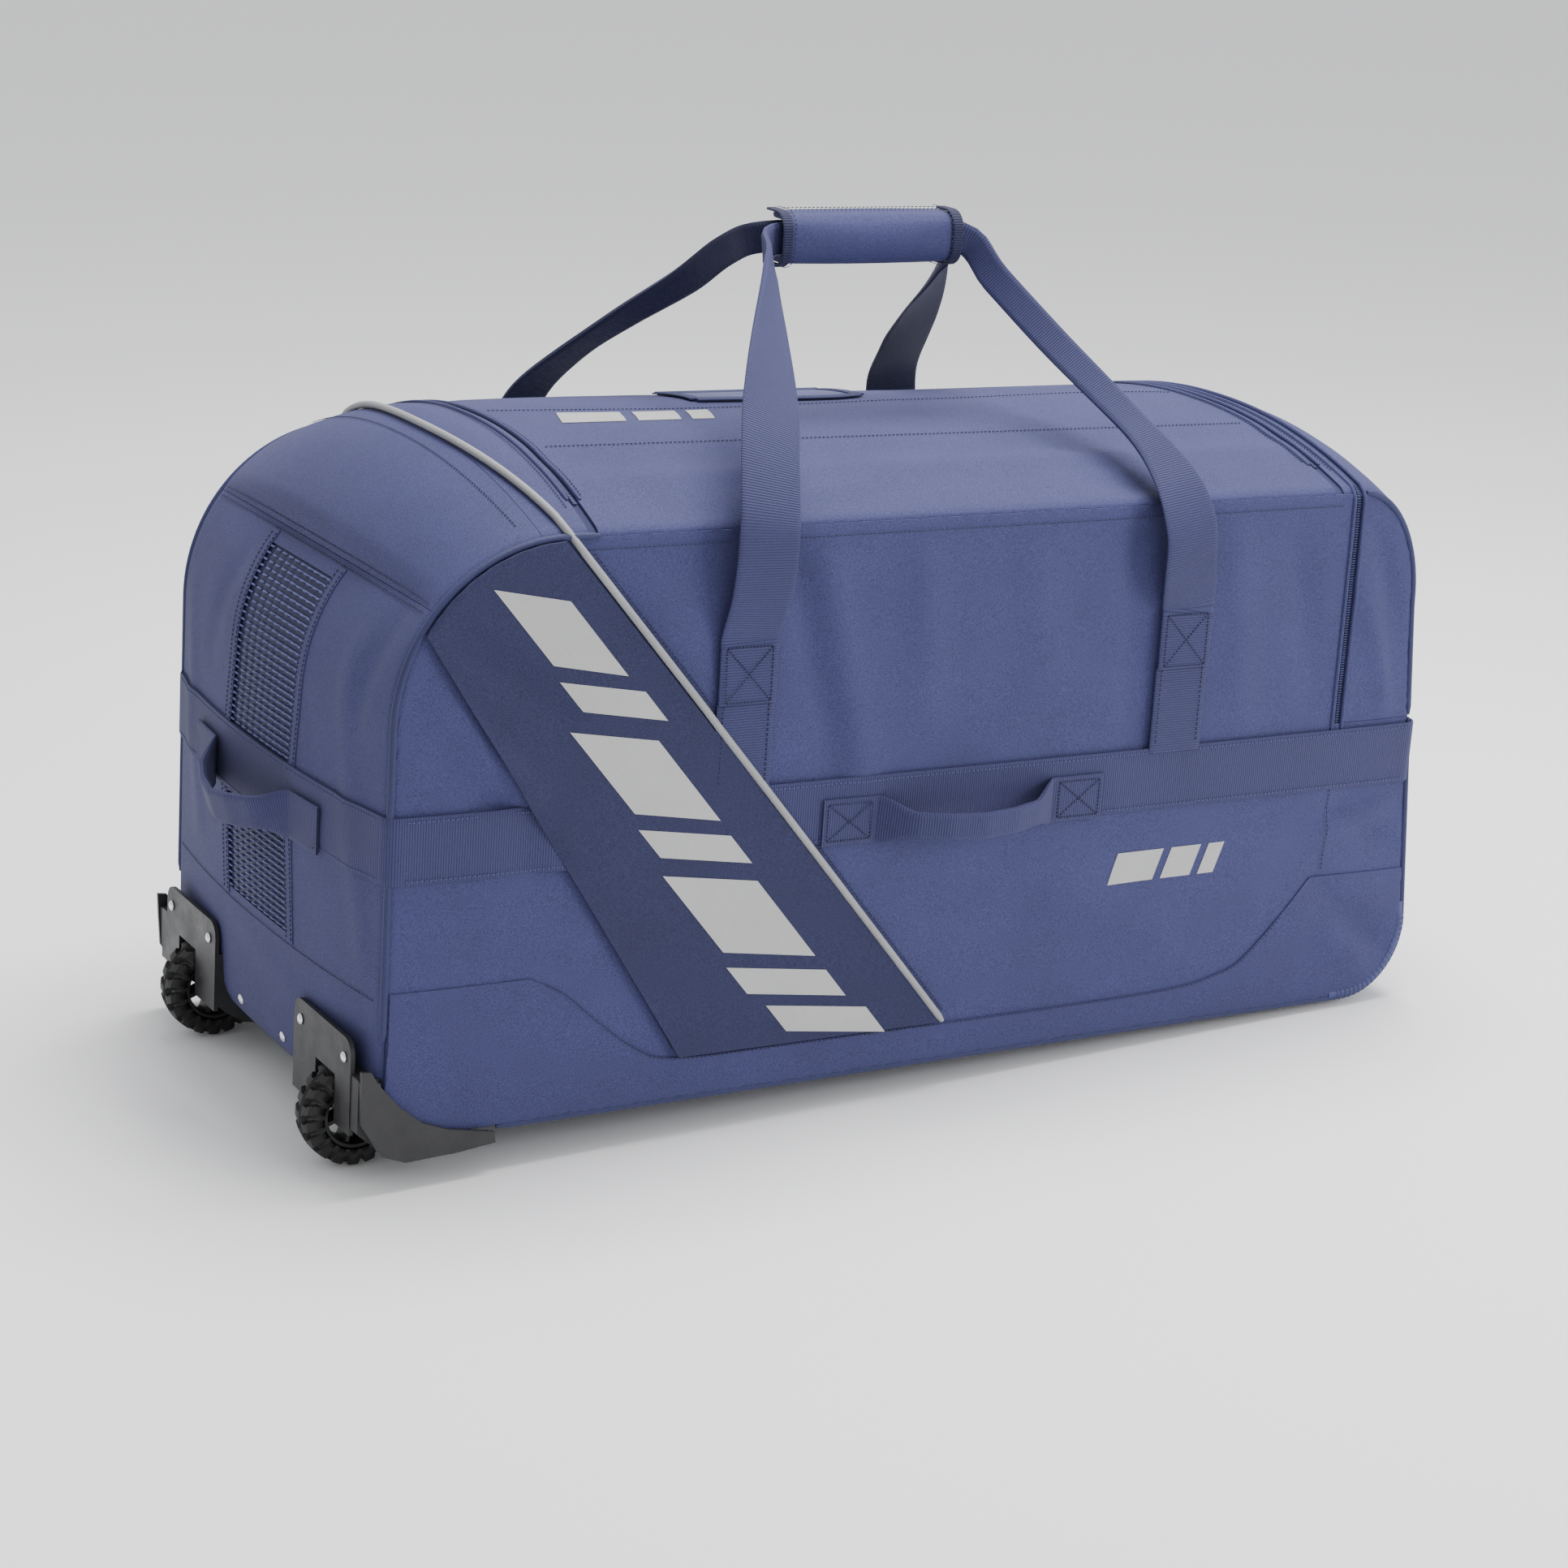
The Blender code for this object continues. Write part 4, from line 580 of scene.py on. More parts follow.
def outline_table():
    """Dense (x, z) points of the side outline: heel, wheel end, shoulder, top, pulling end."""
    corners = arc((HEEL_R, HEEL_R), (HEEL_R, HEEL_R), 270, 180, 14)
    corners += arc((SHOULDER_RX, HEIGHT - SHOULDER_RZ), (SHOULDER_RX, SHOULDER_RZ), 180, 90, 40)
    corners += arc((HEAD_X - HEAD_RX, HEIGHT - HEAD_RZ), (HEAD_RX, HEAD_RZ), 90, 0, 26)
    corners += arc((TOE_X - TOE_RX, TOE_RISE + TOE_RZ), (TOE_RX, TOE_RZ), 0, -90, 24)
    points = []
    for a, b in zip(corners, corners[1:] + corners[:1]):
        steps = max(1, int(np.hypot(b[0] - a[0], b[1] - a[1]) / PATH_STEP))
        points += [(a[0] + (b[0] - a[0]) * k / steps, a[1] + (b[1] - a[1]) * k / steps)
                   for k in range(steps)]
    return np.array(points + points[:1])


TABLE = outline_table()
AT = np.concatenate([[0.0], np.cumsum(np.hypot(*np.diff(TABLE, axis=0).T))])
ROUND = AT[-1]
TANGENT = np.roll(TABLE[:-1], -1, 0) - np.roll(TABLE[:-1], 1, 0)
NORMAL = np.stack([-TANGENT[:, 1], TANGENT[:, 0]], 1)
NORMAL /= np.linalg.norm(NORMAL, axis=1)[:, None]
NORMAL = np.concatenate([NORMAL, NORMAL[:1]])


def outline_at(s):
    """x, z and the outward normal at distances s along the outline."""
    s = np.mod(s, ROUND)
    values = [np.interp(s, AT, column) for column in (*TABLE.T, *NORMAL.T)]
    size = np.hypot(values[2], values[3])
    return values[0], values[1], values[2] / size, values[3] / size


def stretch(column, low_s, high_s, value):
    """The distance between low_s and high_s where x (0) or z (1) has a value."""
    inside = (AT >= low_s - 1e-9) & (AT <= high_s + 1e-9)
    values, spots = TABLE[inside, column], AT[inside]
    order = np.argsort(values)
    return float(np.interp(value, values[order], spots[order]))


TOP_START = AT[np.argmax(TABLE[:, 1] > HEIGHT - 1e-6)]
TOP_END = AT[len(TABLE) - 1 - np.argmax(TABLE[::-1, 1] > HEIGHT - 1e-6)]
TOE_AT = AT[np.argmax(TABLE[:, 0])]


def at_wheel_end(z):
    return stretch(1, AT[7], TOP_START, z)


def on_top(x):
    return stretch(0, AT[20], TOP_END + 0.12, x)


def at_pulling_end(z):
    return stretch(1, TOP_END, ROUND - 0.9, z)


def on_bottom(x):
    return stretch(0, TOE_AT + 0.05, ROUND, x)


CROWNS = np.array([
    (0.0, 0.0), (0.03, 0.008), (at_wheel_end(0.10), 0.014), (at_wheel_end(HANDLE_Z), 0.020),
    (at_wheel_end(END_SEAM_Z), 0.006), (on_top(0.04), 0.022), (on_top(SHOULDER_RX), 0.046),
    (on_top(HEAD_X - HEAD_RX), 0.039), (at_pulling_end(HEIGHT - HEAD_RZ), 0.016),
    (at_pulling_end(TOE_RZ + TOE_RISE), 0.0112), (on_bottom(TOE_X - TOE_RX), 0.0), (ROUND, 0.0)])


FOLD_DEPTH = 1.5        # how much deeper the folds are than their tables say


def ridge(u, v, lines):
    """Soft folds: each line is (u0, v0, u1, v1, height, width), a dent where height is negative."""
    total = np.zeros(np.broadcast(u, v).shape)
    for u0, v0, u1, v1, height, width in lines:
        du, dv = u1 - u0, v1 - v0
        t = np.clip(((u - u0) * du + (v - v0) * dv) / (du * du + dv * dv), 0, 1)
        gap = (u - u0 - t * du) ** 2 + (v - v0 - t * dv) ** 2
        swell = 0.35 + 0.65 * np.sin(pi * (0.15 + 0.7 * t))
        total = total + height * swell * np.exp(-gap / width ** 2)
    return FOLD_DEPTH * total


TOP_FOLDS = [  # x, y: where each fold starts and ends, its height and its width
    (0.18, 0.066, 0.82, 0.072, 0.0016, 0.011), (0.17, 0.100, 0.83, 0.098, -0.0014, 0.016),
    (0.30, 0.020, 0.46, 0.060, 0.0018, 0.012), (0.62, 0.030, 0.72, 0.014, -0.0020, 0.014),
    (0.22, 0.210, 0.50, 0.250, -0.0016, 0.020), (0.55, 0.190, 0.80, 0.240, 0.0016, 0.022),
    (0.20, 0.330, 0.42, 0.360, 0.0014, 0.016), (0.60, 0.340, 0.78, 0.372, -0.0016, 0.018)]
END_FOLDS = [  # z, y on the two ends
    (0.14, 0.03, 0.36, 0.075, 0.0016, 0.013), (0.30, 0.060, 0.40, 0.035, -0.0018, 0.012),
    (0.15, 0.36, 0.33, 0.40, 0.0015, 0.014), (0.08, 0.16, 0.10, 0.27, 0.0012, 0.012),
    (0.30, 0.34, 0.38, 0.31, -0.0014, 0.013)]


def skin_point(s, y, lift):
    """Points of the wrap-around cloth: crowned, softly folded and rolled over at both edges."""
    s, y = np.broadcast_arrays(np.asarray(s, float), np.asarray(y, float))
    x, z, nx, nz = outline_at(s)
    across = 2 * (y - MID_Y) / DEPTH
    out = np.interp(np.mod(s, ROUND), *CROWNS.T) * (1 - np.abs(across) ** 2.15)
    edge = np.minimum(y, DEPTH - y)
    near = np.clip(EDGE_ROLL - edge, 0, EDGE_ROLL)
    out = out - (EDGE_ROLL - np.sqrt(EDGE_ROLL ** 2 - near ** 2))
    top = np.clip((nz - 0.5) * 3, 0, 1)
    ends = np.clip((np.abs(nx) - 0.6) * 3, 0, 1)
    fade = np.clip((edge - 0.004) / 0.02, 0, 1)
    out = out + fade * (top * ridge(x, y, TOP_FOLDS) + ends * ridge(z, y, END_FOLDS))
    out = out + lift
    return np.stack([x + nx * out, y, z + nz * out], -1)


def spots(start, stop, extra=()):
    """Distances from start to stop at the cloth's step, with extra cuts exactly in place."""
    if stop < start:
        stop += ROUND
    cuts = sorted({start, stop, *[e for e in extra if start < e < stop]})
    values = []
    for a, b in zip(cuts, cuts[1:]):
        values += list(np.linspace(a, b, max(2, int((b - a) / STEP) + 2))[:-1])
    return np.array(values + [stop])


def depths(low=MEET, high=DEPTH - MEET, extra=()):
    rim = [MEET, 0.45 * EDGE_ROLL, 0.7 * EDGE_ROLL, EDGE_ROLL, 1.5 * EDGE_ROLL]
    return spots(low, high, [*rim, *[DEPTH - r for r in rim], *extra])


def skin(name, ss, ys, look, body, lift=0.0, thick=WALL, hole=None, crosswise=False, **more):
    """A piece of the wrap-around cloth; crosswise turns its weave by a right angle."""
    grid_s, grid_y = np.meshgrid(ss, ys, indexing="ij")
    outer = skin_point(grid_s, grid_y, lift)
    inner = skin_point(grid_s, grid_y, lift - thick)
    holes = set()
    if hole:
        for i in range(len(ss) - 1):
            for j in range(len(ys) - 1):
                if hole((ss[i] + ss[i + 1]) / 2, (ys[j] + ys[j + 1]) / 2):
                    holes.add((i, j))
    uv = np.stack([grid_y, grid_s] if crosswise else [grid_s, grid_y], -1)
    return layer(name, outer, inner, uv, look, body, holes, **more)


def skin_line(points, lift=0.0006):
    """A path on the wrap-around cloth through (s, y) points, with its outward directions."""
    path, outs = [], []
    for (s0, y0), (s1, y1) in zip(points, points[1:]):
        steps = max(2, int(np.hypot(s1 - s0, y1 - y0) / PATH_STEP))
        for k in range(steps + 1):
            s, y = s0 + (s1 - s0) * k / steps, y0 + (y1 - y0) * k / steps
            path.append(Vector(skin_point(s, y, lift)))
            outs.append((Vector(skin_point(s, y, lift + 0.01)) - path[-1]).normalized())
    return path, outs


# ---------------------------------------------------------------- the two side faces
FACE_FOLDS = [  # x, z: the soft folds that the hanging cloth takes
    (0.325, 0.440, 0.372, 0.270, -0.0036, 0.012), (0.350, 0.450, 0.400, 0.250, 0.0030, 0.016),
    (0.440, 0.455, 0.455, 0.300, 0.0022, 0.018), (0.640, 0.450, 0.655, 0.270, -0.0026, 0.014),
    (0.740, 0.440, 0.760, 0.280, 0.0024, 0.018), (0.800, 0.430, 0.835, 0.290, -0.0024, 0.014),
    (0.030, 0.340, 0.110, 0.270, 0.0030, 0.012), (0.040, 0.300, 0.130, 0.215, -0.0026, 0.012),
    (0.045, 0.390, 0.135, 0.330, -0.0024, 0.013), (0.020, 0.175, 0.160, 0.150, 0.0022, 0.014),
    (0.885, 0.430, 0.925, 0.330, -0.0030, 0.011), (0.880, 0.370, 0.915, 0.275, 0.0028, 0.010),
    (0.870, 0.190, 0.950, 0.145, -0.0030, 0.010), (0.860, 0.165, 0.935, 0.185, 0.0024, 0.010),
    (0.860, 0.115, 0.945, 0.055, -0.0032, 0.013), (0.880, 0.070, 0.940, 0.028, 0.0026, 0.011),
    (0.560, 0.170, 0.700, 0.090, 0.0020, 0.024), (0.420, 0.160, 0.560, 0.120, -0.0016, 0.022),
    (0.200, 0.430, 0.260, 0.330, 0.0022, 0.016), (0.540, 0.440, 0.560, 0.330, 0.0016, 0.020)]


def wall(far):
    """A side face's y and the way out of it: of the front face, or of the far one."""
    return (DEPTH, 1) if far else (0.0, -1)


def face_out(x, z):
    """How far a side face stands out at (x, z): full at its middle, folded, rolled at the rim."""
    x, z = np.broadcast_arrays(np.asarray(x, float), np.asarray(z, float))
    flat = np.stack([x.ravel(), z.ravel()], 1)
    rim = np.sqrt(((flat[:, None, :] - TABLE[None, ::2, :]) ** 2).sum(2)).min(1).reshape(x.shape)
    near = np.clip(EDGE_ROLL - rim, 0, EDGE_ROLL)
    roll = EDGE_ROLL - np.sqrt(EDGE_ROLL ** 2 - near ** 2)
    fade = np.clip((rim - 0.004) / 0.03, 0, 1)
    full = 0.0045 * np.sin(pi * np.clip(x / LENGTH, 0, 1)) ** 0.6 * np.sin(
        pi * np.clip(z / HEIGHT, 0, 1)) ** 0.8
    return fade * (full + ridge(x, z, FACE_FOLDS)) - roll


def crossings(polygon, x):
    """Lowest and highest z where the polygon's sides pass x."""
    found = []
    for (x0, z0), (x1, z1) in zip(polygon, polygon[1:] + polygon[:1]):
        if x0 == x1:
            if abs(x - x0) < 1e-9:
                found += [z0, z1]
        elif min(x0, x1) - 1e-9 <= x <= max(x0, x1) + 1e-9:
            found.append(z0 + (z1 - z0) * (x - x0) / (x1 - x0))
    return min(found), max(found)


def face_grid(polygon, step):
    """Columns of points filling a polygon that no upright line enters twice."""
    corners = sorted({x for x, _ in polygon})
    cuts = [corners[0]]
    for x in corners[1:]:
        if x - cuts[-1] > 0.0012:
            cuts.append(x)
    cuts[-1] = corners[-1]
    xs = []
    for a, b in zip(cuts, cuts[1:]):
        xs += list(np.linspace(a, b, max(2, int((b - a) / step) + 2))[:-1])
    xs.append(cuts[-1])
    spans = [crossings(polygon, x) for x in xs]
    rows = max(3, int(max(high - low for low, high in spans) / step))
    shares = np.linspace(0, 1, rows + 1)
    ease = 0.5 - 0.5 * np.cos(pi * shares)
    shares = 0.7 * shares + 0.3 * ease
    grid_x = np.repeat(np.array(xs)[:, None], rows + 1, 1)
    low, high = (np.array([s[k] for s in spans])[:, None] for k in (0, 1))
    return grid_x, low + (high - low) * shares[None, :]


def face_sheet(name, polygon, look, body, far, lift=0.0, thick=WALL, **more):
    """A flat piece of a side face, draped over the same folds as everything round it."""
    x, z = face_grid(polygon, STEP)
    out = face_out(x, z) + lift
    base, side = wall(far)
    outer = np.stack([x, base + side * out, z], -1)
    inner = np.stack([x, base + side * (out - thick), z], -1)
    return layer(name, outer, inner, np.stack([x, z], -1), look, body, **more)


def face_line(corners, lift, far):
    """A path over a side face through (x, z) corners, with its outward directions."""
    base, side = wall(far)
    path = []
    for (x0, z0), (x1, z1) in zip(corners, corners[1:]):
        steps = max(2, int(np.hypot(x1 - x0, z1 - z0) / PATH_STEP))
        x, z = np.linspace(x0, x1, steps + 1), np.linspace(z0, z1, steps + 1)
        out = face_out(x, z) + lift
        path += [Vector((a, base + side * o, b)) for a, o, b in zip(x, out, z)]
    return path, [Vector((0, side, 0))] * len(path)


def outline_polygon(start, stop, inset=0.0):
    """The outline's points from start to stop, moved in by inset."""
    s = spots(start, stop)
    x, z, nx, nz = outline_at(s)
    return [(float(a), float(b)) for a, b in zip(x - nx * inset, z - nz * inset)]


def pipe_x(z):
    t = (z - PIPE_TOP[1]) / (PIPE_FOOT[1] - PIPE_TOP[1])
    return PIPE_TOP[0] + (PIPE_FOOT[0] - PIPE_TOP[0]) * t


def bar(x, z, length, width, slope=0.85, lean=0.0):
    """A slanted bar for the generic prints: x, z is its lower left corner."""
    return [(x, z), (x + length, z + lean), (x + length - slope * width, z + lean + width),
            (x - slope * width, z + width)]


def squared(points, x, ends=(0, -1)):
    """The points with the named ends moved exactly to x, so that a straight side stands on x."""
    points = list(points)
    for k in ends:
        points[k] = (x, points[k][1])
    return points


# x, z of the lower yoke's upper seam, from the pulling end to the wheel end
SEAM = [(TOE_X - 0.110, 0.126), (TOE_X - 0.165, 0.068), (TOE_X - 0.200, 0.049),
        (TOE_X - 0.283, 0.040), (0.370, 0.039), (0.249, 0.040), (0.211, 0.053),
        (0.175, 0.081), (0.146, 0.106), (0.118, 0.120)]


def rounded(points):
    return [(p.x, p.z) for p in smooth_path([(x, 0, z) for x, z in points], 4)]


def make_faces():
    left = POCKET_X - ZIP_WIDTH / 2
    for side, far in SIDES:
        main = squared(outline_polygon(on_bottom(left), on_top(left), MEET), left)
        face_sheet(side + "_cloth", main, "cloth", "bag", far, replaces=(side + "_panel",),
                   slot="cloth")
        foot = squared(outline_polygon(at_pulling_end(FLAP_LOW - FIT), on_bottom(left), MEET),
                       left, (-1,))
        face_sheet(side + "_foot_cloth", foot + [(left, FLAP_LOW - FIT)], "cloth", "bag", far,
                   slot="cloth")
        seam = rounded(SEAM)
        edge = outline_polygon(at_pulling_end(YOKE_SEAM_PULLING_Z),
                               at_wheel_end(YOKE_SEAM_WHEEL_Z), MEET + 0.001)
        # the yoke's cloth is the main cloth with painted shade
        face_sheet(side + "_yoke_cloth", edge + list(reversed(seam)), "yoke", "bag", far,
                   lift=YOKE_LIFT, thick=YOKE_THICK, replaces=(side + "_yoke",),
                   slot="dark_cloth")
        top = outline_polygon(on_top(0.020), on_top(PIPE_TOP[0] - GREY_ROOM), MEET + 0.001)
        accent = top + [(PIPE_FOOT[0] - GREY_ROOM, PIPE_FOOT[1]),
                        (ACCENT_LEFT_FOOT_X, PIPE_FOOT[1])]
        face_sheet(side + "_accent_cloth", accent, "dark_cloth", "bag", far, lift=ACCENT_LIFT,
                   thick=ACCENT_THICK, replaces=(side + "_accent_panel",), slot="dark_cloth")
        make_prints(side, far)
        make_face_seams(side, far, seam)


def make_prints(side, far):
    """Generic slanted bars where the panel is printed; they stand for no mark."""
    for n, (x, z, length, width) in enumerate((
            (0.124, 0.365, 0.062, 0.060), (0.150, 0.328, 0.071, 0.024),
            (0.197, 0.245, 0.074, 0.068), (0.221, 0.208, 0.080, 0.024),
            (0.281, 0.125, 0.083, 0.068), (0.305, 0.088, 0.090, 0.024),
            (0.343, 0.052, 0.092, 0.024))):
        face_sheet("%s_print_%d" % (side, n + 1), bar(x, z, length, width, 0.84, -0.012), "print",
                   "bag", far, lift=PRINT_LIFT, thick=PRINT_THICK, slot="grey_piping")
    for n, (length, start) in enumerate(((0.046, 0.640), (0.030, 0.694), (0.016, 0.732))):
        face_sheet("%s_small_print_%d" % (side, n + 1), bar(start, 0.142, length, 0.026, -0.35),
                   "print", "bag", far, lift=SMALL_PRINT_LIFT, thick=PRINT_THICK,
                   slot="grey_piping")


def make_face_seams(side, far, seam):
    left = POCKET_X - ZIP_WIDTH / 2
    lines = (
        ([(x, HEIGHT - 0.0115) for x in (0.150, 0.300, 0.500, 0.700, left - 0.012)],
         FACE_THREAD_LIFT),
        (seam[2:-2], FACE_THREAD_LIFT + YOKE_THICK),
        ([(left + 0.004, FLAP_LOW - 0.008), (left + 0.004, 0.132)], FACE_THREAD_LIFT),
        ([(ACCENT_LEFT_FOOT_X - 0.004, PIPE_FOOT[1] + 0.006), (0.060, 0.342)], 0.0010),
        ([(pipe_x(z) + 0.0085, z) for z in (HEIGHT - 0.014, 0.3, 0.15, 0.05)],
         FACE_THREAD_LIFT))
    sew(side + "_seam_stitches", "dark_thread", "bag",
        [face_line(line, lift, far) for line, lift in lines])


make_faces()


# ---------------------------------------------------------------- wrap-around cloth
def in_well(y):
    return min(y, DEPTH - y) < HOUSING_HIGH_Y + FIT


WELL_CUTS = (HOUSING_HIGH_Y + FIT, DEPTH - HOUSING_HIGH_Y - FIT)
VENT = (MID_Y - VENT_WIDTH / 2, MID_Y + VENT_WIDTH / 2)


def make_ends():
    well, seam = at_wheel_end(WELL_Z + FIT), at_wheel_end(END_SEAM_Z)
    low, high = at_wheel_end(VENT_LOW), at_wheel_end(VENT_HIGH)
    ss = spots(at_wheel_end(HEEL_SEAM_Z), seam, (well, low, high))
    ys = depths(extra=WELL_CUTS + VENT)
    skin("wheel_end_cloth", ss, ys, "cloth", "bag", replaces=("wheel_end_panel",), slot="cloth",
         hole=lambda s, y: (s < well and in_well(y)) or (low < s < high and VENT[0] < y < VENT[1]))
    skin("shoulder_cloth", spots(seam + FIT, on_top(SHOULDER_EDGE)), depths(), "cloth", "bag",
         replaces=("shoulder_panel",), slot="cloth")
    toe = on_bottom(TOE_SEAM_X)
    skin("pulling_end_cloth", spots(at_pulling_end(FLAP_LOW - FIT), toe), depths(), "cloth",
         "bag", replaces=("pulling_end_panel",), slot="cloth")
    bottom_well = on_bottom(WELL_X + FIT)
    skin("bottom_cloth", spots(toe + FIT, ROUND + 0.010, (bottom_well,)),
         depths(0.0044, DEPTH - 0.0044, WELL_CUTS), "dark_cloth", "bag", lift=-0.0002,
         replaces=("bottom_panel",), slot="dark_cloth",
         hole=lambda s, y: s > bottom_well and in_well(y))


RIB_PITCH, RIB_LENGTH = 0.0052, 0.0125


def make_vent():
    """Ribbed spacer mesh in the wheel end, bound by two stitched strips."""
    low, high = at_wheel_end(VENT_LOW), at_wheel_end(VENT_HIGH)
    y0, y1 = VENT[0] + FIT, VENT[1] - FIT
    skin("vent_backing", spots(low + FIT, high - FIT), spots(y0, y1), "mesh", "bag",
         lift=-0.0016, thick=0.0012, replaces=("vent_mesh",), slot="mesh")
    ribs = []
    count = int((high - low) / RIB_PITCH)
    for k in range(count):
        s = low + (k + 0.5) * (high - low) / count
        path, outs = skin_line([(s, y0 + 0.001), (s, y1 - 0.001)], -0.0002)
        ribs.append((path, outs, RIB_LENGTH, 0.0017, 0.0022))
        ribs.append(([p + Vector((0, 0.006, 0.0003)) for p in path[:-1]], outs,
                     RIB_LENGTH, 0.0012, 0.0018))
    sew("vent_ribs", "mesh_rib", "bag", ribs, "mesh")
    for name, y in (("front", VENT[0]), ("back", VENT[1])):
        out = -1 if name == "front" else 1
        ys = np.array(sorted((y - out * 0.004, y + out * 0.008)))
        skin("vent_strip_" + name, spots(low - 0.006, high + 0.010), spots(*ys), "cloth", "bag",
             lift=0.0010, thick=0.0012, slot="cloth")


def make_end_stitches():
    low, high, seam = (at_wheel_end(z) for z in (VENT_LOW, VENT_HIGH, END_SEAM_Z))
    lines = [([(low - 0.004, y), (high + 0.008, y)], 0.0016)
             for y in (VENT[0] - 0.0060, VENT[0] + 0.0025, VENT[1] + 0.0060, VENT[1] - 0.0025)]
    for s, edge in ((seam - 0.004, 0.012), (seam + 0.004, 0.012),
                    (on_top(SHOULDER_EDGE) - 0.012, 0.020), (at_wheel_end(0.112), 0.012),
                    (at_pulling_end(0.126), 0.012)):
        lines.append(([(s, edge), (s, DEPTH - edge)], THREAD_LIFT))
    sew("end_stitches", "dark_thread", "bag", [skin_line(*line) for line in lines])


make_ends()
make_vent()
make_end_stitches()


# ---------------------------------------------------------------- top: border, lid and zips
def make_border():
    left, right = LID_LEFT - ZIP_WIDTH, LID_RIGHT + ZIP_WIDTH
    back = LID_BACK + ZIP_WIDTH
    s_left, s_right = on_top(left), on_top(right)
    ss = spots(on_top(SHOULDER_EDGE + FIT), on_top(POCKET_X - ZIP_WIDTH / 2), (s_left, s_right))
    skin("top_border_cloth", ss, depths(extra=(back,)), "cloth", "bag",
         replaces=("top_border",), slot="cloth",
         hole=lambda s, y: s_left < s < s_right and y < back)
    inner_left, inner_right = on_top(LID_LEFT - 0.001), on_top(LID_RIGHT + 0.001)
    ss = spots(s_left + 0.0002, s_right - 0.0002, (inner_left, inner_right))
    ys = depths(MEET, back - 0.0002, (LID_BACK + 0.001,))
    skin("lid_zip_tape", ss, ys, "tape", "bag", lift=-0.0022, thick=0.0014,
         replaces=("lid_zip",), slot="zip",
         hole=lambda s, y: inner_left < s < inner_right and y < LID_BACK + 0.001)


def lid_run(gap, front_y, lift):
    """The line round the lid's free edges at a gap outside it: left, back and right."""
    x0, x1, y1 = LID_LEFT - gap, LID_RIGHT + gap, LID_BACK + gap
    r = 0.012
    corners = [(x0, front_y), (x0, y1 - r)]
    corners += [(x0 + r - r * cos(a), y1 - r + r * sin(a)) for a in np.radians((22, 45, 68))]
    corners += [(x0 + r, y1), (x1 - r, y1)]
    corners += [(x1 - r + r * sin(a), y1 - r + r * cos(a)) for a in np.radians((22, 45, 68))]
    corners += [(x1, y1 - r), (x1, front_y)]
    return skin_line([(on_top(x), y) for x, y in corners], lift)


def make_lid():
    ss = spots(on_top(LID_LEFT), on_top(LID_RIGHT))
    lid = skin("lid_cloth", ss, depths(MEET, LID_BACK), "cloth", "lid", replaces=("lid_panel",),
               slot="cloth")
    hinge_bend(lid)
    runs = [lid_run(-0.005, 0.045, THREAD_LIFT)]
    for y in (0.125, 0.231):
        runs.append(skin_line([(on_top(LID_LEFT + 0.012), y), (on_top(LID_RIGHT - 0.012), y)],
                              THREAD_LIFT))
    sew("lid_stitches", "dark_thread", "lid", runs)
    for name, gap, body in (("lid_welt", -0.0016, "lid"),
                            ("border_welt", ZIP_WIDTH + 0.0006, "bag")):
        tube(name, lid_run(gap, 0.040, WELT_LIFT)[0], WELT_RADIUS, "cloth", body, 8,
             Vector((0, 0, 1)), slot="cloth")
    coil("lid_zip_teeth", lid_run(ZIP_WIDTH / 2, 0.036, COIL_LIFT))
    sew("border_stitches", "dark_thread", "bag", [lid_run(ZIP_WIDTH + 0.006, 0.030, 0.0010)])
    make_window()
    for n, (length, start) in enumerate(((0.056, 0.215), (0.038, 0.282), (0.020, 0.330))):
        lid_print("top_print_%d" % (n + 1), start, 0.182, length, 0.040)


def blend_into(piece, body, root, out, near, away):
    """Takes the piece off its body and bakes its place into its points."""
    piece.parent = None
    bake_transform(piece)


def hinge_bend(piece):
    """The lid's cloth taken off its body by blend_into, its place baked into its points."""
    blend_into(piece, "lid", Vector((0.5, 0, HEIGHT)), Vector((0, 1, 0)), 0.0025, 0.026)


def lid_print(name, x, y, length, width):
    lean = 0.35 * width
    ys = np.linspace(y, y + width, 6)
    xs = np.linspace(0, length, 9)
    grid_x = np.array([[x + a + lean * (b - y) / width for b in ys] for a in xs])
    grid_y = np.repeat(ys[None, :], len(xs), 0)
    at = np.vectorize(on_top)(grid_x)
    outer, inner = skin_point(at, grid_y, 0.0007), skin_point(at, grid_y, 0.0002)
    layer(name, outer, inner, np.stack([grid_x, grid_y], -1), "print", "lid", slot="grey_piping")


def make_window():
    """The card window: a clear film pocket with a bound edge."""
    x0, x1, y0, y1 = 0.372, 0.527, 0.256, 0.324
    skin("id_window_film", spots(on_top(x0), on_top(x1)), spots(y0, y1), "window", "lid",
         lift=0.0018, thick=0.0014, replaces=("id_window",), slot="window")
    corners = [(x0, y0), (x1, y0), (x1, y1), (x0, y1), (x0, y0)]
    for n, ((xa, ya), (xb, yb)) in enumerate(zip(corners, corners[1:])):
        path, outs = skin_line([(on_top(xa), ya), (on_top(xb), yb)], 0.0022)
        strap("id_window_binding_%d" % (n + 1), path, [o.cross(path[-1] - path[0]) for o in outs],
              0.010, TAPE_THICK, "tape", "lid", slot="piping")


make_border()
make_lid()


# ---------------------------------------------------------------- end pocket: flap, zip, divider
def flap_bend(piece):
    """A piece of the flap taken off its body by blend_into, its place baked into its points."""
    blend_into(piece, "pocket_flap", Vector((0.95, MID_Y, FLAP_LOW)), Vector((0, 0, 1)), 0, 0.045)


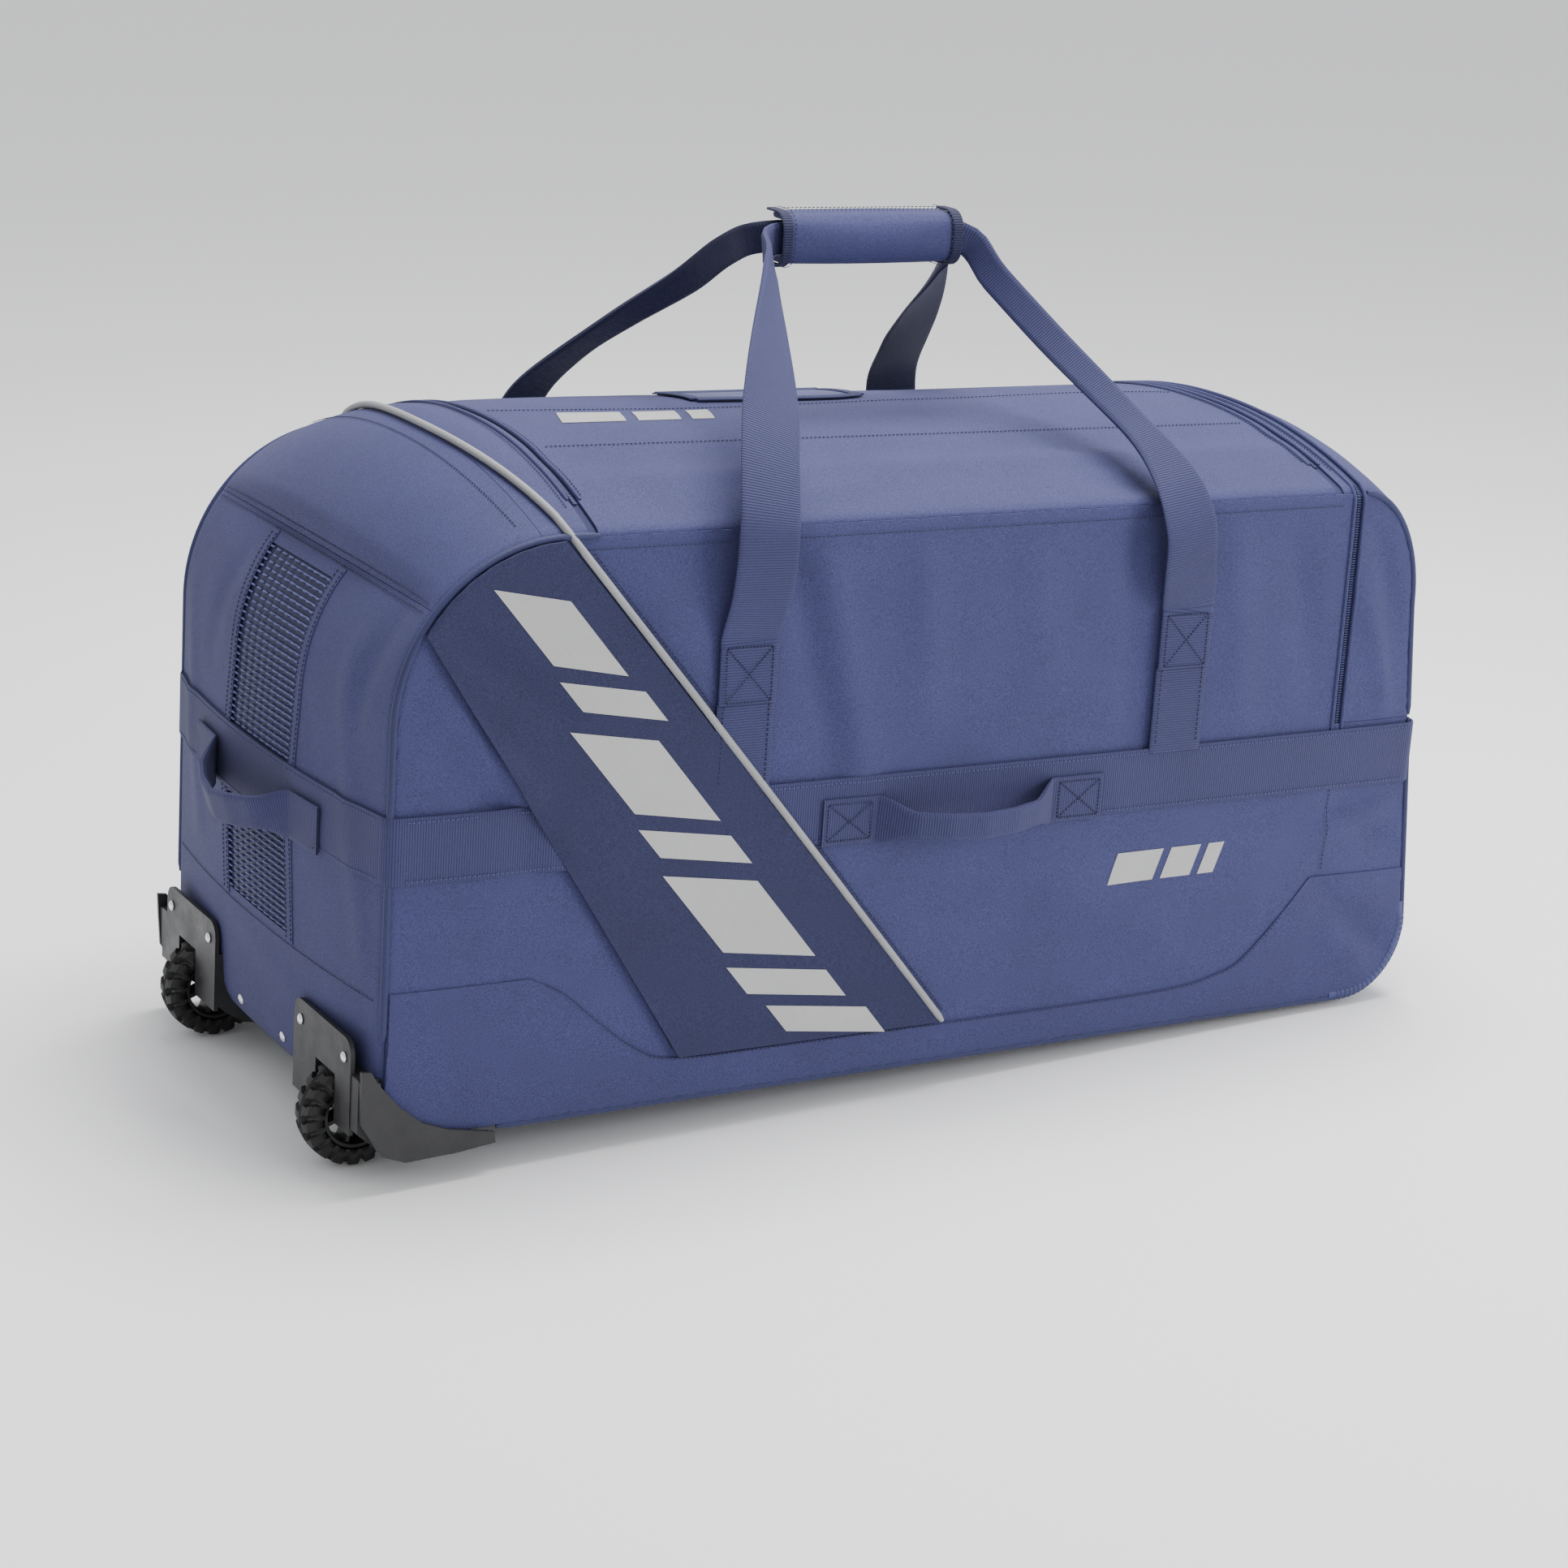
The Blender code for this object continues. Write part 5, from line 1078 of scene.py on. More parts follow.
def make_pocket():
    edge = POCKET_X + ZIP_WIDTH / 2
    seam = at_pulling_end(FLAP_LOW)
    flap = skin("pocket_flap_cloth", spots(on_top(edge), seam), depths(), "cloth", "pocket_flap",
                replaces=("pocket_flap_end",), slot="cloth")
    flap_bend(flap)
    polygon = squared(outline_polygon(on_top(edge), seam, MEET), edge, (0,)) + [(edge, FLAP_LOW)]
    for side, far in SIDES:
        cheek = face_sheet(side + "_pocket_cheek", polygon, "cloth", "pocket_flap", far,
                           replaces=("pocket_flap_" + side,), slot="cloth")
        flap_bend(cheek)
    coil("pocket_zip_teeth", pocket_run(POCKET_X, COIL_LIFT))
    strap("pocket_zip_tape", pocket_run(POCKET_X, -0.0026)[0], Vector((1, 0, 0)), 0.0115,
          TAPE_THICK, "tape", "bag", replaces=("pocket_zip",), slot="zip")
    for name, offset, body in (("inner", -ZIP_WIDTH / 2 - 0.0012, "bag"),
                               ("outer", ZIP_WIDTH / 2 + 0.0012, "pocket_flap")):
        path, _ = pocket_run(POCKET_X + offset, WELT_LIFT)
        welt = tube("pocket_welt_" + name, path, 0.0018, "cloth", body, 8, Vector((1, 0, 0)),
                    slot="cloth")
        if body == "pocket_flap":
            flap_bend(welt)


def make_divider():
    """The cloth wall between the main compartment and the end pocket, up to the crowned top."""
    low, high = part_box("pocket_divider")
    x = float((BAG.inverted() @ ((low + high) / 2)).x)
    ys = depths(WALL + 0.001, DEPTH - WALL - 0.001)
    tops = skin_point(on_top(x), ys, -WALL - 0.001)[:, 2]
    shares = np.linspace(0, 1, 40)
    z = WALL + 0.004 + (tops[None, :] - WALL - 0.004) * shares[:, None]
    y = np.repeat(ys[None, :], len(shares), 0)
    sway = 0.0022 * np.sin(9 * y / DEPTH) * np.sin(pi * shares)[:, None]
    outer, inner = (np.stack([x + sway + side * CLOTH / 2, y, z], -1) for side in (1, -1))
    layer("pocket_divider_cloth", outer, inner, np.stack([y, z], -1), "lining", "bag",
          replaces=("pocket_divider",), slot="cloth")


def pocket_run(x, lift):
    """Up the front face, over the crowned top and down the back face at one x."""
    path, outs = face_line([(x, FLAP_LOW - 0.006), (x, HEIGHT - MEET - 0.004)], lift, False)
    over, over_outs = skin_line([(on_top(x), MEET), (on_top(x), DEPTH - MEET)], lift)
    down, down_outs = face_line([(x, HEIGHT - MEET - 0.004), (x, FLAP_LOW - 0.006)], lift, True)
    return path + over + down, outs + over_outs + down_outs


make_pocket()
make_divider()


# ---------------------------------------------------------------- pipings
def make_pipings():
    for side, far in SIDES:
        rim_tube(side + "_edge_piping", at_wheel_end(PLATE_TOP + 0.004), on_top(LID_LEFT), far,
                 0.0030, "bag", (side + "_piping",))
        rim_tube(side + "_toe_piping", at_pulling_end(FLAP_LOW - 0.002), on_bottom(0.098), far,
                 0.0028, "bag")
        flap = rim_tube(side + "_flap_piping", on_top(POCKET_X + 0.008),
                        at_pulling_end(FLAP_LOW + 0.001), far, 0.0028, "pocket_flap")
        flap_bend(flap)
    path, _ = face_line([(pipe_x(z), z) for z in (PIPE_FOOT[1] + 0.001, HEIGHT - 0.014)],
                        GREY_LIFT, False)
    over = []
    for y in np.linspace(0.004, MID_Y, 16):
        x = SHOULDER_EDGE + (PIPE_TOP[0] - SHOULDER_EDGE) * (1 - y / MID_Y) ** 2
        over.append(Vector(skin_point(on_top(x), y, 0.0032)))
    half = path + over
    path = smooth_path(half + [Vector((p.x, DEPTH - p.y, p.z)) for p in reversed(half[:-1])], 1)
    tube("grey_trim", path, GREY_RADIUS, "grey_piping", "bag", 10, Vector((1, 0.02, 0.3)),
         replaces=("grey_piping",), slot="grey_piping")


def rim_tube(name, start, stop, far, radius, body, replaces=()):
    """Piping sewn into the edge between a side face and the wrap-around cloth."""
    x, z, nx, nz = outline_at(spots(start, stop))
    inset = MEET - 0.0008
    y = DEPTH - inset if far else inset
    path = [Vector((a - c * inset, y, b - d * inset)) for a, b, c, d in zip(x, z, nx, nz)]
    return tube(name, path, radius, "piping", body, 10, replaces=replaces, slot="piping")


make_pipings()


# ---------------------------------------------------------------- bands and side handles
def corner(s, sign, face, out, level):
    """The band's way round the upright edge, from the side face onto the bag's end."""
    x_end = float(outline_at(s)[0])
    r = EDGE_ROLL - 0.0005
    turn = [radians(a) for a in (12, 32, 52, 72, 88)]
    points = [Vector((x_end + sign * (sin(a) * (r + 0.0030) - r),
                      face + out * (cos(a) * (r + 0.0030) - r), level)) for a in turn]
    return points + [Vector((x_end + sign * 0.0028, face - out * 0.015, level))]


def make_bands():
    level, hems = (BAND_LOW + BAND_TOP) / 2, (BAND_LOW + BAND_HEM, BAND_TOP - BAND_HEM)
    for side, far in SIDES:
        face, out = wall(far)
        x_end = float(outline_at(at_pulling_end(HANDLE_Z))[0])
        x = np.arange(0.012, x_end - 0.010, PATH_STEP)
        path = [Vector((a, face + out * (float(o) + BAND_LIFT), level))
                for a, o in zip(x, face_out(x, np.full(x.shape, level)))]
        path = corner(at_wheel_end(level), -1, face, out, level)[::-1] + path
        path += corner(at_pulling_end(level), 1, face, out, level)
        strap(side + "_band_webbing", path, Vector((0, 0, 1)), BAND_TOP - BAND_LOW, BAND_THICK,
              "webbing", "bag", replaces=(side + "_band",), slot="webbing")
        sew(side + "_band_stitches", "thread", "bag",
            [face_line([(0.012, z), (x_end - 0.010, z)], BAND_LIFT + 0.0019, far) for z in hems],
            "webbing")
    for name, at in (("wheel_end", at_wheel_end), ("pulling_end", at_pulling_end)):
        skin(name + "_band_webbing", spots(*sorted((at(BAND_LOW), at(BAND_TOP)))),
             depths(MEET + 0.001, DEPTH - MEET - 0.001), "webbing", "bag", lift=BAND_LIFT,
             thick=BAND_THICK, crosswise=True, replaces=(name + "_band",), slot="webbing")
        sew(name + "_band_stitches", "thread", "bag",
            [skin_line([(at(z), 0.012), (at(z), DEPTH - 0.012)], 0.0029) for z in hems],
            "webbing")


def xbox(corners):
    """Runs of stitches for a box with its two diagonals; corners are (point, outward) pairs."""
    ends = list(zip(corners, corners[1:] + corners[:1]))
    ends += [(corners[0], corners[2]), (corners[1], corners[3])]
    return [(*line_between(a, b), 0.0030, 0.0011) for a, b in ends]


def line_between(a, b):
    """A straight path between two (point, outward) pairs."""
    steps = 8
    path = [a[0].lerp(b[0], k / steps) for k in range(steps + 1)]
    return path, [(a[1].lerp(b[1], k / steps)).normalized() for k in range(steps + 1)]


def side_point(x, z, lift, far):
    path, outs = face_line([(x, z), (x + 0.001, z)], lift, far)
    return path[0], outs[0]


def end_point(s, y, lift):
    path, outs = skin_line([(s, y), (s, y + 0.001)], lift)
    return path[0], outs[0]


def make_handle(name, body, at, out, start, stop, shape, root=None):
    """A webbing handle from start to stop: sewn flat past both, folded narrow and held off between.

    at(u, up, lift) gives the (point, outward) pair at u along the handle, up from its middle line.
    """
    shares = np.linspace(0, 1, 44)
    near = np.minimum(shares, 1 - shares)
    pinch = np.clip(near / 0.16, 0, 1)
    pinch = pinch * pinch * (3 - 2 * pinch)
    stand, drop = np.interp(near, *shape["stand"]), np.interp(near, *shape["drop"])
    path = [at(start + (stop - start) * t, 0.0, shape["lift"])[0] + out * float(c)
            - Vector((0, 0, float(d))) for t, c, d in zip(shares, stand, drop)]
    tail = XBOX + shape["tail"]
    lead = [at(u, 0.0, shape["lift"])[0] for u in np.linspace(start - tail, start - 0.004, 8)]
    trail = [at(u, 0.0, shape["lift"])[0] for u in np.linspace(stop + 0.004, stop + tail, 8)]
    root = root or Vector((path[0].x, MID_Y, HANDLE_Z))
    pinch = np.concatenate([np.zeros(8), pinch, np.zeros(8)])
    turn = [(Vector((0, 0, 1)) + out * shape["turn"] * float(p)).normalized() for p in pinch]
    piece = strap(name + "_handle_webbing", lead + path + trail, turn,
                  list(0.038 - shape["narrow"] * pinch), list(0.0024 + shape["thicken"] * pinch),
                  "webbing", "bag", segments=10, replaces=(name + "_handle",), slot="webbing")
    blend_into(piece, body, root, out, *shape["blend"])
    runs = []
    for u in (start - XBOX - shape["gap"], stop + shape["gap"]):
        runs += xbox([at(a, b, shape["stitch"]) for a, b in (
            (u, -0.015), (u + XBOX, -0.015), (u + XBOX, 0.015), (u, 0.015))])
    sew(name + "_handle_stitches", "dark_thread", "bag", runs, "webbing")


SIDE_HANDLE = dict(     # stand and drop: shares of the way to the middle, and metres there
    stand=((0, 0.06, 0.16, 0.32, 0.5), (0.0, 0.0080, 0.0200, 0.0290, 0.0318)),
    drop=((0, 0.16, 0.5), (0, 0.002, 0.004)), lift=0.0050, tail=0.010, gap=0.006,
    stitch=0.0068, turn=0.0, narrow=0.0165, thicken=0.0042, blend=(0.0135, 0.0300))
END_HANDLE = dict(
    stand=((0, 0.08, 0.18, 0.34, 0.5), (0.0, 0.0070, 0.0170, 0.0250, 0.0275)),
    drop=((0, 0.2, 0.5), (0, 0.006, 0.013)), lift=0.0044, tail=0.008, gap=0.005,
    stitch=0.0060, turn=0.30, narrow=0.010, thicken=0.0034, blend=(0.0060, 0.0240))


def make_handles():
    for side, far in SIDES:
        face, out = wall(far)
        make_handle(side, side + "_grab",
                    lambda x, up, lift: side_point(x, HANDLE_Z + up, lift, far),
                    Vector((0, out, 0)), HANDLE_START, HANDLE_START + HANDLE_LENGTH, SIDE_HANDLE,
                    Vector((HANDLE_START, face, HANDLE_Z)))
    for name, at_end, sign in (("wheel_end", at_wheel_end, -1),
                               ("pulling_end", at_pulling_end, 1)):
        make_handle(name, name + "_grab",
                    lambda y, up, lift: end_point(at_end(HANDLE_Z + up), y, lift),
                    Vector((sign, 0, 0)), MID_Y - END_HANDLE_HALF, MID_Y + END_HANDLE_HALF,
                    END_HANDLE)


make_bands()
make_handles()


# ---------------------------------------------------------------- carry straps and grip
LEGS = {  # shares of the way from a strap's foot to the grip: along, inward, up
    "front_left": [(0.016, -0.086, 0.130), (0.016, -0.115, 0.251), (0.032, -0.096, 0.377),
                   (0.145, 0.058, 0.547), (0.353, 0.298, 0.695), (0.602, 0.586, 0.828),
                   (0.819, 0.845, 0.935)],
    "front_right": [(0.089, -0.096, 0.140), (0.124, -0.106, 0.259), (0.169, -0.038, 0.377),
                    (0.213, 0.120, 0.473), (0.320, 0.346, 0.577), (0.533, 0.624, 0.725),
                    (0.782, 0.864, 0.887)],
    "rear_left": [(0.032, -0.086, 0.130), (0.112, -0.106, 0.259), (0.209, -0.077, 0.392),
                  (0.402, 0.058, 0.529), (0.610, 0.278, 0.669), (0.803, 0.552, 0.813),
                  (0.859, 0.816, 0.939)],
    "rear_right": [(0.018, -0.086, 0.130), (0.089, -0.106, 0.259), (0.178, -0.058, 0.407),
                   (0.284, 0.115, 0.540), (0.444, 0.355, 0.680), (0.658, 0.614, 0.806),
                   (0.818, 0.835, 0.917)]}
FOLDED = {  # shares of each leg where its webbing begins to be folded double, and is
    "front_left": (0.55, 1.0), "front_right": (0.26, 0.62), "rear_left": (0.16, 0.56),
    "rear_right": (0.70, 1.0)}
GRIP_RIGHT = GRIP_LEFT + GRIP_LENGTH
TWIST = 0.55            # share of a leg over which its webbing only begins to twist


def leg_path(name, foot_x, grip_x, far):
    """From the sewn foot, just above the anchor, up and over to the grip."""
    face, outward = wall(far)
    inward = -outward
    reach, rise = MID_Y - LOOP_SPREAD, GRIP_Z - ANCHOR_TOP
    sewn = [(0.0056, -0.048), (0.0056, -0.024), (0.0057, -0.004), (0.0060, 0.006)]
    points = [(foot_x, face + outward * (lift + float(face_out(foot_x, ANCHOR_TOP + up))),
               ANCHOR_TOP + up) for lift, up in sewn]
    return points + [(foot_x + a * (grip_x - foot_x), face + inward * b * reach,
                      ANCHOR_TOP + c * rise) for a, b, c in LEGS[name]]


def width_way(t, inward, mirror):
    """The direction across the webbing: flat on the face at first, upright at the grip."""
    flat, upright = Vector((1, 0, 0)), Vector((0, 0, -1))
    half = flat.lerp(Vector((0.75, -0.25 * inward, -0.6)), 0.5)
    if t < TWIST:
        way = flat.lerp(half, t / TWIST)
    else:
        way = half.lerp(upright, (t - TWIST) / (1 - TWIST))
    return Vector((mirror * way.x, way.y, way.z)).normalized()


def make_carry_straps():
    for side, anchors, look, far in (("front", "front", "webbing", False),
                                     ("rear", "back", "dark_webbing", True)):
        face, out = wall(far)
        left = leg_path(side + "_left", STRAP_LEFT_X, GRIP_LEFT, far)
        right = leg_path(side + "_right", STRAP_RIGHT_X, GRIP_RIGHT, far)
        y = MID_Y + out * LOOP_SPREAD
        grip = [(x, y, GRIP_Z) for x in
                (GRIP_LEFT - 0.004, GRIP_LEFT + GRIP_LENGTH / 2, GRIP_RIGHT + 0.004)]
        per_span = 6
        path = smooth_path(left + grip + right[::-1], per_span)
        leg, first = per_span * (len(left) - 3), per_span * 3
        across, widths, thicks = [], [], []
        for i in range(len(path)):
            t = min(1.0, max(0.0, (min(i, len(path) - 1 - i) - first) / leg))
            on_left = i < len(path) / 2
            begin, end = FOLDED[side + ("_left" if on_left else "_right")]
            folded = min(1.0, max(0.0, (t - begin) / (end - begin)))
            folded = folded * folded * (3 - 2 * folded)
            across.append(width_way(t, -out, 1 if on_left else -1))
            widths.append(STRAP_WIDTH - (STRAP_WIDTH - 0.026) * folded)
            thicks.append(0.0026 + 0.0034 * folded)
        piece = strap(side + "_carry_webbing", path, across, widths, thicks, look, "bag",
                      segments=14, slot="webbing",
                      replaces=(side + "_carry_strap", anchors + "_strap_anchor_left",
                                anchors + "_strap_anchor_right"))
        blend_into(piece, side + "_carry_loop", Vector((STRAP_LEFT_X, face, ANCHOR_TOP)),
                   Vector((0, 0, 1)), -0.001, 0.024)
        make_anchors(anchors, far)


def make_anchors(anchors, far):
    """The webbing that runs up from the band to a strap's foot, with its stitching."""
    face, out = wall(far)
    runs = []
    for x in (STRAP_LEFT_X, STRAP_RIGHT_X):
        w = STRAP_WIDTH / 2 - 0.005
        runs += xbox([side_point(a, ANCHOR_TOP + b, 0.0074, far) for a, b in (
            (x - w, -0.046), (x + w, -0.046), (x + w, -0.003), (x - w, -0.003))])
        runs += [face_line([(x + edge * w, BAND_TOP + 0.004),
                            (x + edge * w, ANCHOR_TOP - 0.048)], 0.0052, far)
                 for edge in (-1, 1)]
    sew(anchors + "_anchor_stitches", "dark_thread", "bag", runs, "webbing")
    for label, x in (("left", STRAP_LEFT_X), ("right", STRAP_RIGHT_X)):
        z = np.arange(BAND_TOP - 0.004, ANCHOR_TOP - 0.046, PATH_STEP)
        lift = face_out(np.full(z.shape, x), z) + ANCHOR_LIFT
        strap("%s_anchor_%s" % (anchors, label),
              [Vector((x, face + out * o, b)) for o, b in zip(lift, z)], Vector((1, 0, 0)),
              STRAP_WIDTH, ANCHOR_THICK, "webbing", "bag", segments=10, slot="webbing")


make_carry_straps()


PAD_VOXEL, PAD_PRESSURE, PAD_CAP = 0.0045, 4.0, 0.0022     # cap: how far a point may swell
PAD_FRAMES = 20


def quilted(points, faces, cap):
    """The same closed form after padding has swollen it: remeshed, blown up softly, smoothed."""
    mesh = bpy.data.meshes.new("pad_form")
    mesh.from_pydata([tuple(p) for p in points], [], [tuple(f) for f in faces])
    form = bpy.data.objects.new("pad_form", mesh)
    bpy.context.scene.collection.objects.link(form)
    remesh = form.modifiers.new("grain", "REMESH")
    remesh.mode, remesh.voxel_size = "VOXEL", PAD_VOXEL
    form.data = evaluated_mesh(form)
    form.modifiers.clear()
    rest = vertex_table(form.data)
    cloth = form.modifiers.new("padding", "CLOTH")
    cloth.settings.use_pressure = True
    cloth.settings.uniform_pressure_force = PAD_PRESSURE
    cloth.settings.effector_weights.gravity = 0.0
    cloth.settings.tension_stiffness = 25
    cloth.settings.bending_stiffness = 0.6
    cloth.point_cache.frame_start, cloth.point_cache.frame_end = 1, PAD_FRAMES
    for number in range(1, PAD_FRAMES + 1):
        bpy.context.scene.frame_set(number)
        bpy.context.view_layer.update()
    swollen = vertex_table(evaluated_mesh(form))
    bpy.context.scene.frame_set(1)
    form.modifiers.clear()
    move = swollen - rest
    size = np.linalg.norm(move, axis=1)
    keep = np.minimum(1.0, cap / np.maximum(size, 1e-9))
    form.data.vertices.foreach_set("co", (rest + move * keep[:, None]).ravel())
    result = vertex_table(form.data), [list(p.vertices) for p in form.data.polygons]
    bpy.data.objects.remove(form)
    return result


def evaluated_mesh(piece):
    graph = bpy.context.evaluated_depsgraph_get()
    return bpy.data.meshes.new_from_object(piece.evaluated_get(graph), depsgraph=graph)


def vertex_table(mesh):
    table = np.zeros(3 * len(mesh.vertices))
    mesh.vertices.foreach_get("co", table)
    return table.reshape(-1, 3)


def grip_section():
    """The wrap's cross-section in (y, z): a soft C round both straps, open towards the rear."""
    y0, y1 = MID_Y - GRIP_WIDE / 2 + 0.0015, MID_Y + GRIP_WIDE / 2 - 0.002
    z0, z1 = GRIP_Z - GRIP_TALL / 2 + 0.0015, GRIP_Z + GRIP_TALL / 2 - 0.0015
    r, pad = 0.013, 0.0062
    outer = [(y1, z1)] + arc((y0 + r, z1 - r), (r, r), 90, 180, 7)
    outer += arc((y0 + r, z0 + r), (r, r), 180, 270, 7) + [(y1, z0)]
    inner = [(y1, z0 + pad)] + arc((y0 + r, z0 + r), (r - pad, r - pad), 270, 180, 5)
    inner += arc((y0 + r, z1 - r), (r - pad, r - pad), 180, 90, 5) + [(y1, z1 - pad)]
    return outer + inner, outer


def make_grip():
    """The padded hand grip: a foam-filled wrap with bound ends and a seam along its top."""
    ring, outer = grip_section()
    xs = np.linspace(GRIP_LEFT + 0.003, GRIP_RIGHT - 0.003, 34)
    points = [(x, y, z) for x in xs for y, z in ring]
    points, faces = quilted(points, ring_faces(len(xs), len(ring)), PAD_CAP)
    uvs = [(p[0], p[1] + p[2]) for p in points]
    pad = build("grip_pad", points, faces, "cloth", "front_carry_loop", uvs, sharp=70,
                replaces=("grip_wrap",), slot="cloth")
    smooth = pad.modifiers.new("round", "SUBSURF")
    smooth.levels = smooth.render_levels = 1
    runs = []
    for label, x, way in (("left", GRIP_LEFT + 0.004, 1), ("right", GRIP_RIGHT - 0.004, -1)):
        path = [Vector((x, y, z)) for y, z in smooth_section(outer, 0.0014)]
        path[0].y -= 0.0020
        path[-1].y -= 0.0020
        strap("grip_binding_" + label, path, Vector((1, 0, 0)), 0.0095, 0.0022, "dark_webbing",
              "front_carry_loop", slot="webbing")
        line = [Vector((x + way * 0.0062, y, z)) for y, z in smooth_section(outer, 0.0030)]
        runs.append((line, [(p - Vector((p.x, MID_Y, GRIP_Z))).normalized() for p in line]))
    top = outer[0][1] + 0.0022
    for y in (MID_Y - 0.002, MID_Y + 0.010):
        line = [Vector((x, y, top)) for x in np.linspace(GRIP_LEFT + 0.012, GRIP_RIGHT - 0.012, 20)]
        runs.append((line, [Vector((0, 0, 1))] * len(line)))
    sew("grip_stitches", "dark_thread", "front_carry_loop", runs)


def smooth_section(section, out):
    """The (y, z) points of a section moved outwards from the grip's middle."""
    moved = []
    for i, (y, z) in enumerate(section):
        (ya, za), (yb, zb) = section[max(i - 1, 0)], section[min(i + 1, len(section) - 1)]
        size = np.hypot(yb - ya, zb - za)
        normal = (-(zb - za) / size, (yb - ya) / size)
        if normal[0] * (y - MID_Y) + normal[1] * (z - GRIP_Z) < 0:
            normal = (-normal[0], -normal[1])
        moved.append((y + normal[0] * out, z + normal[1] * out))
    return moved


make_grip()


# ---------------------------------------------------------------- wheels
def spun(name, profile, centre_y, steps, look, body, wobble=None, **more):
    """A ring turned about the wheel's axle from (radius, y) profile points, inner side last."""
    angles = [2 * pi * k / steps for k in range(steps)]
    points, uvs = [], []
    for a in angles:
        for r, y in profile:
            radius = r + (wobble(a, r, y) if wobble else 0.0)
            points.append((WHEEL_X + radius * cos(a), centre_y + y, WHEEL_Z + radius * sin(a)))
            uvs.append((a * r, y))
    n = len(profile)
    faces = []
    for i in range(steps):
        j = (i + 1) % steps
        for k in range(n):
            m = (k + 1) % n
            faces.append([i * n + k, j * n + k, j * n + m, i * n + m])
    first = [np.array(points[q]) for q in faces[0][:3]]
    normal = np.cross(first[1] - first[0], first[2] - first[0])
    if np.dot(normal, first[0] - np.array((WHEEL_X, centre_y, WHEEL_Z))) < 0:
        faces = [list(reversed(f)) for f in faces]
    return build(name, points, faces, look, body, uvs, sharp=32, **more)


def tyre_profile():
    """(radius, y) from the outer tread round the sides to the bead on the rim."""
    half = WHEEL_WIDTH / 2
    tread = [(WHEEL_RADIUS - 0.0018 * (y / half) ** 2, y)
             for y in np.linspace(-half + 0.0035, half - 0.0035, 13)]
    shoulder = [(WHEEL_RADIUS - 0.0035, half - 0.0012), (WHEEL_RADIUS - 0.0065, half),
                (RIM_RADIUS + 0.0040, half - 0.0006), (RIM_RADIUS + 0.0012, half - 0.0024),
                (RIM_RADIUS + 0.0003, half - 0.0045)]
    return tread + shoulder + [(r, -y) for r, y in reversed(shoulder)]


LUG_DEPTH, LUG_GAP, CENTRE_GROOVE_DEPTH = 0.0038, 0.40, 0.0016


def lug_depth(angle, r, y):
    """Curved lugs round the tread: grooves slant across it, deeper towards its edges."""
    if r < RIM_RADIUS + 0.0030:
        return 0.0
    half = WHEEL_WIDTH / 2
    slant = 0.16 * (abs(y) / half) ** 1.4
    stagger = 0.5 if y > 0 else 0.0
    phase = ((angle + slant) * LUGS / (2 * pi) + stagger) % 1.0
    groove = 1.0 if phase < LUG_GAP and abs(y) > 0.0022 else 0.0
    centre = 1.0 if abs(y) <= 0.0012 else 0.0
    return -LUG_DEPTH * groove - CENTRE_GROOVE_DEPTH * centre


def make_wheels():
    for side, far in (("near", False), ("far", True)):
        centre = DEPTH - WHEEL_Y if far else WHEEL_Y
        body = "wheel_" + side
        spun("tyre_rubber_" + side, tyre_profile(), centre, 216, "tread", body, lug_depth,
             replaces=("tyre_" + side,), slot="tread")
        half = WHEEL_WIDTH / 2
        rim = [(RIM_RADIUS, -half + 0.0045), (RIM_RADIUS, half - 0.0045),
               (RIM_RADIUS - 0.0006, half - 0.0030), (RIM_RADIUS - 0.0030, half - 0.0030),
               (RIM_RADIUS - 0.0042, half - 0.0060), (RIM_RADIUS - 0.0042, -half + 0.0060),
               (RIM_RADIUS - 0.0030, -half + 0.0030), (RIM_RADIUS - 0.0006, -half + 0.0030)]
        spun("hub_rim_" + side, rim, centre, 72, "hub", body, replaces=("hub_" + side,),
             slot="plastic")
        boss = [(0.0046, -half + 0.0030), (0.0092, -half + 0.0030), (0.0100, -half + 0.0042),
                (0.0100, half - 0.0042), (0.0092, half - 0.0030), (0.0046, half - 0.0030)]
        spun("hub_boss_" + side, boss, centre, 40, "hub", body, slot="plastic")
        make_spokes(side, centre, body)
        collar = [(0.0022, -0.0014), (0.0060, -0.0014), (0.0066, -0.0006), (0.0066, 0.0008),
                  (0.0022, 0.0012)]
        for n, way in enumerate((-1, 1)):
            spun("hub_collar_%s_%d" % (side, n + 1), collar, centre + way * (half - 0.0012), 32,
                 "steel", body, slot="steel")


def make_spokes(side, centre, body):
    points, faces = [], []
    for k in range(6):
        a = 2 * pi * (k + 0.25) / 6
        away, turn = Vector((cos(a), 0, sin(a))), Vector((-sin(a), 0, cos(a)))
        hub = Vector((WHEEL_X, centre, WHEEL_Z))
        first = len(points)
        for r, wide, tall in ((0.0085, 0.0042, 0.0098), (0.0160, 0.0030, 0.0088),
                              (RIM_RADIUS - 0.0036, 0.0040, 0.0094)):
            for s, t in ((-1, -1), (1, -1), (1, 1), (-1, 1)):
                points.append(hub + away * r + turn * (s * wide / 2) + Vector((0, t * tall, 0)))
        for j in range(2):
            for m in range(4):
                q = (m + 1) % 4
                faces.append([first + 4 * j + m, first + 4 * j + q, first + 4 * j + 4 + q,
                              first + 4 * j + 4 + m])
        faces.append([first + m for m in (3, 2, 1, 0)])
        faces.append([first + 8 + m for m in (0, 1, 2, 3)])
    uvs = [(p[0], p[2]) for p in points]
    piece = build("hub_spokes_" + side, points, faces, "hub", body, uvs, sharp=32, slot="plastic")
    soften(piece, 0.0006)


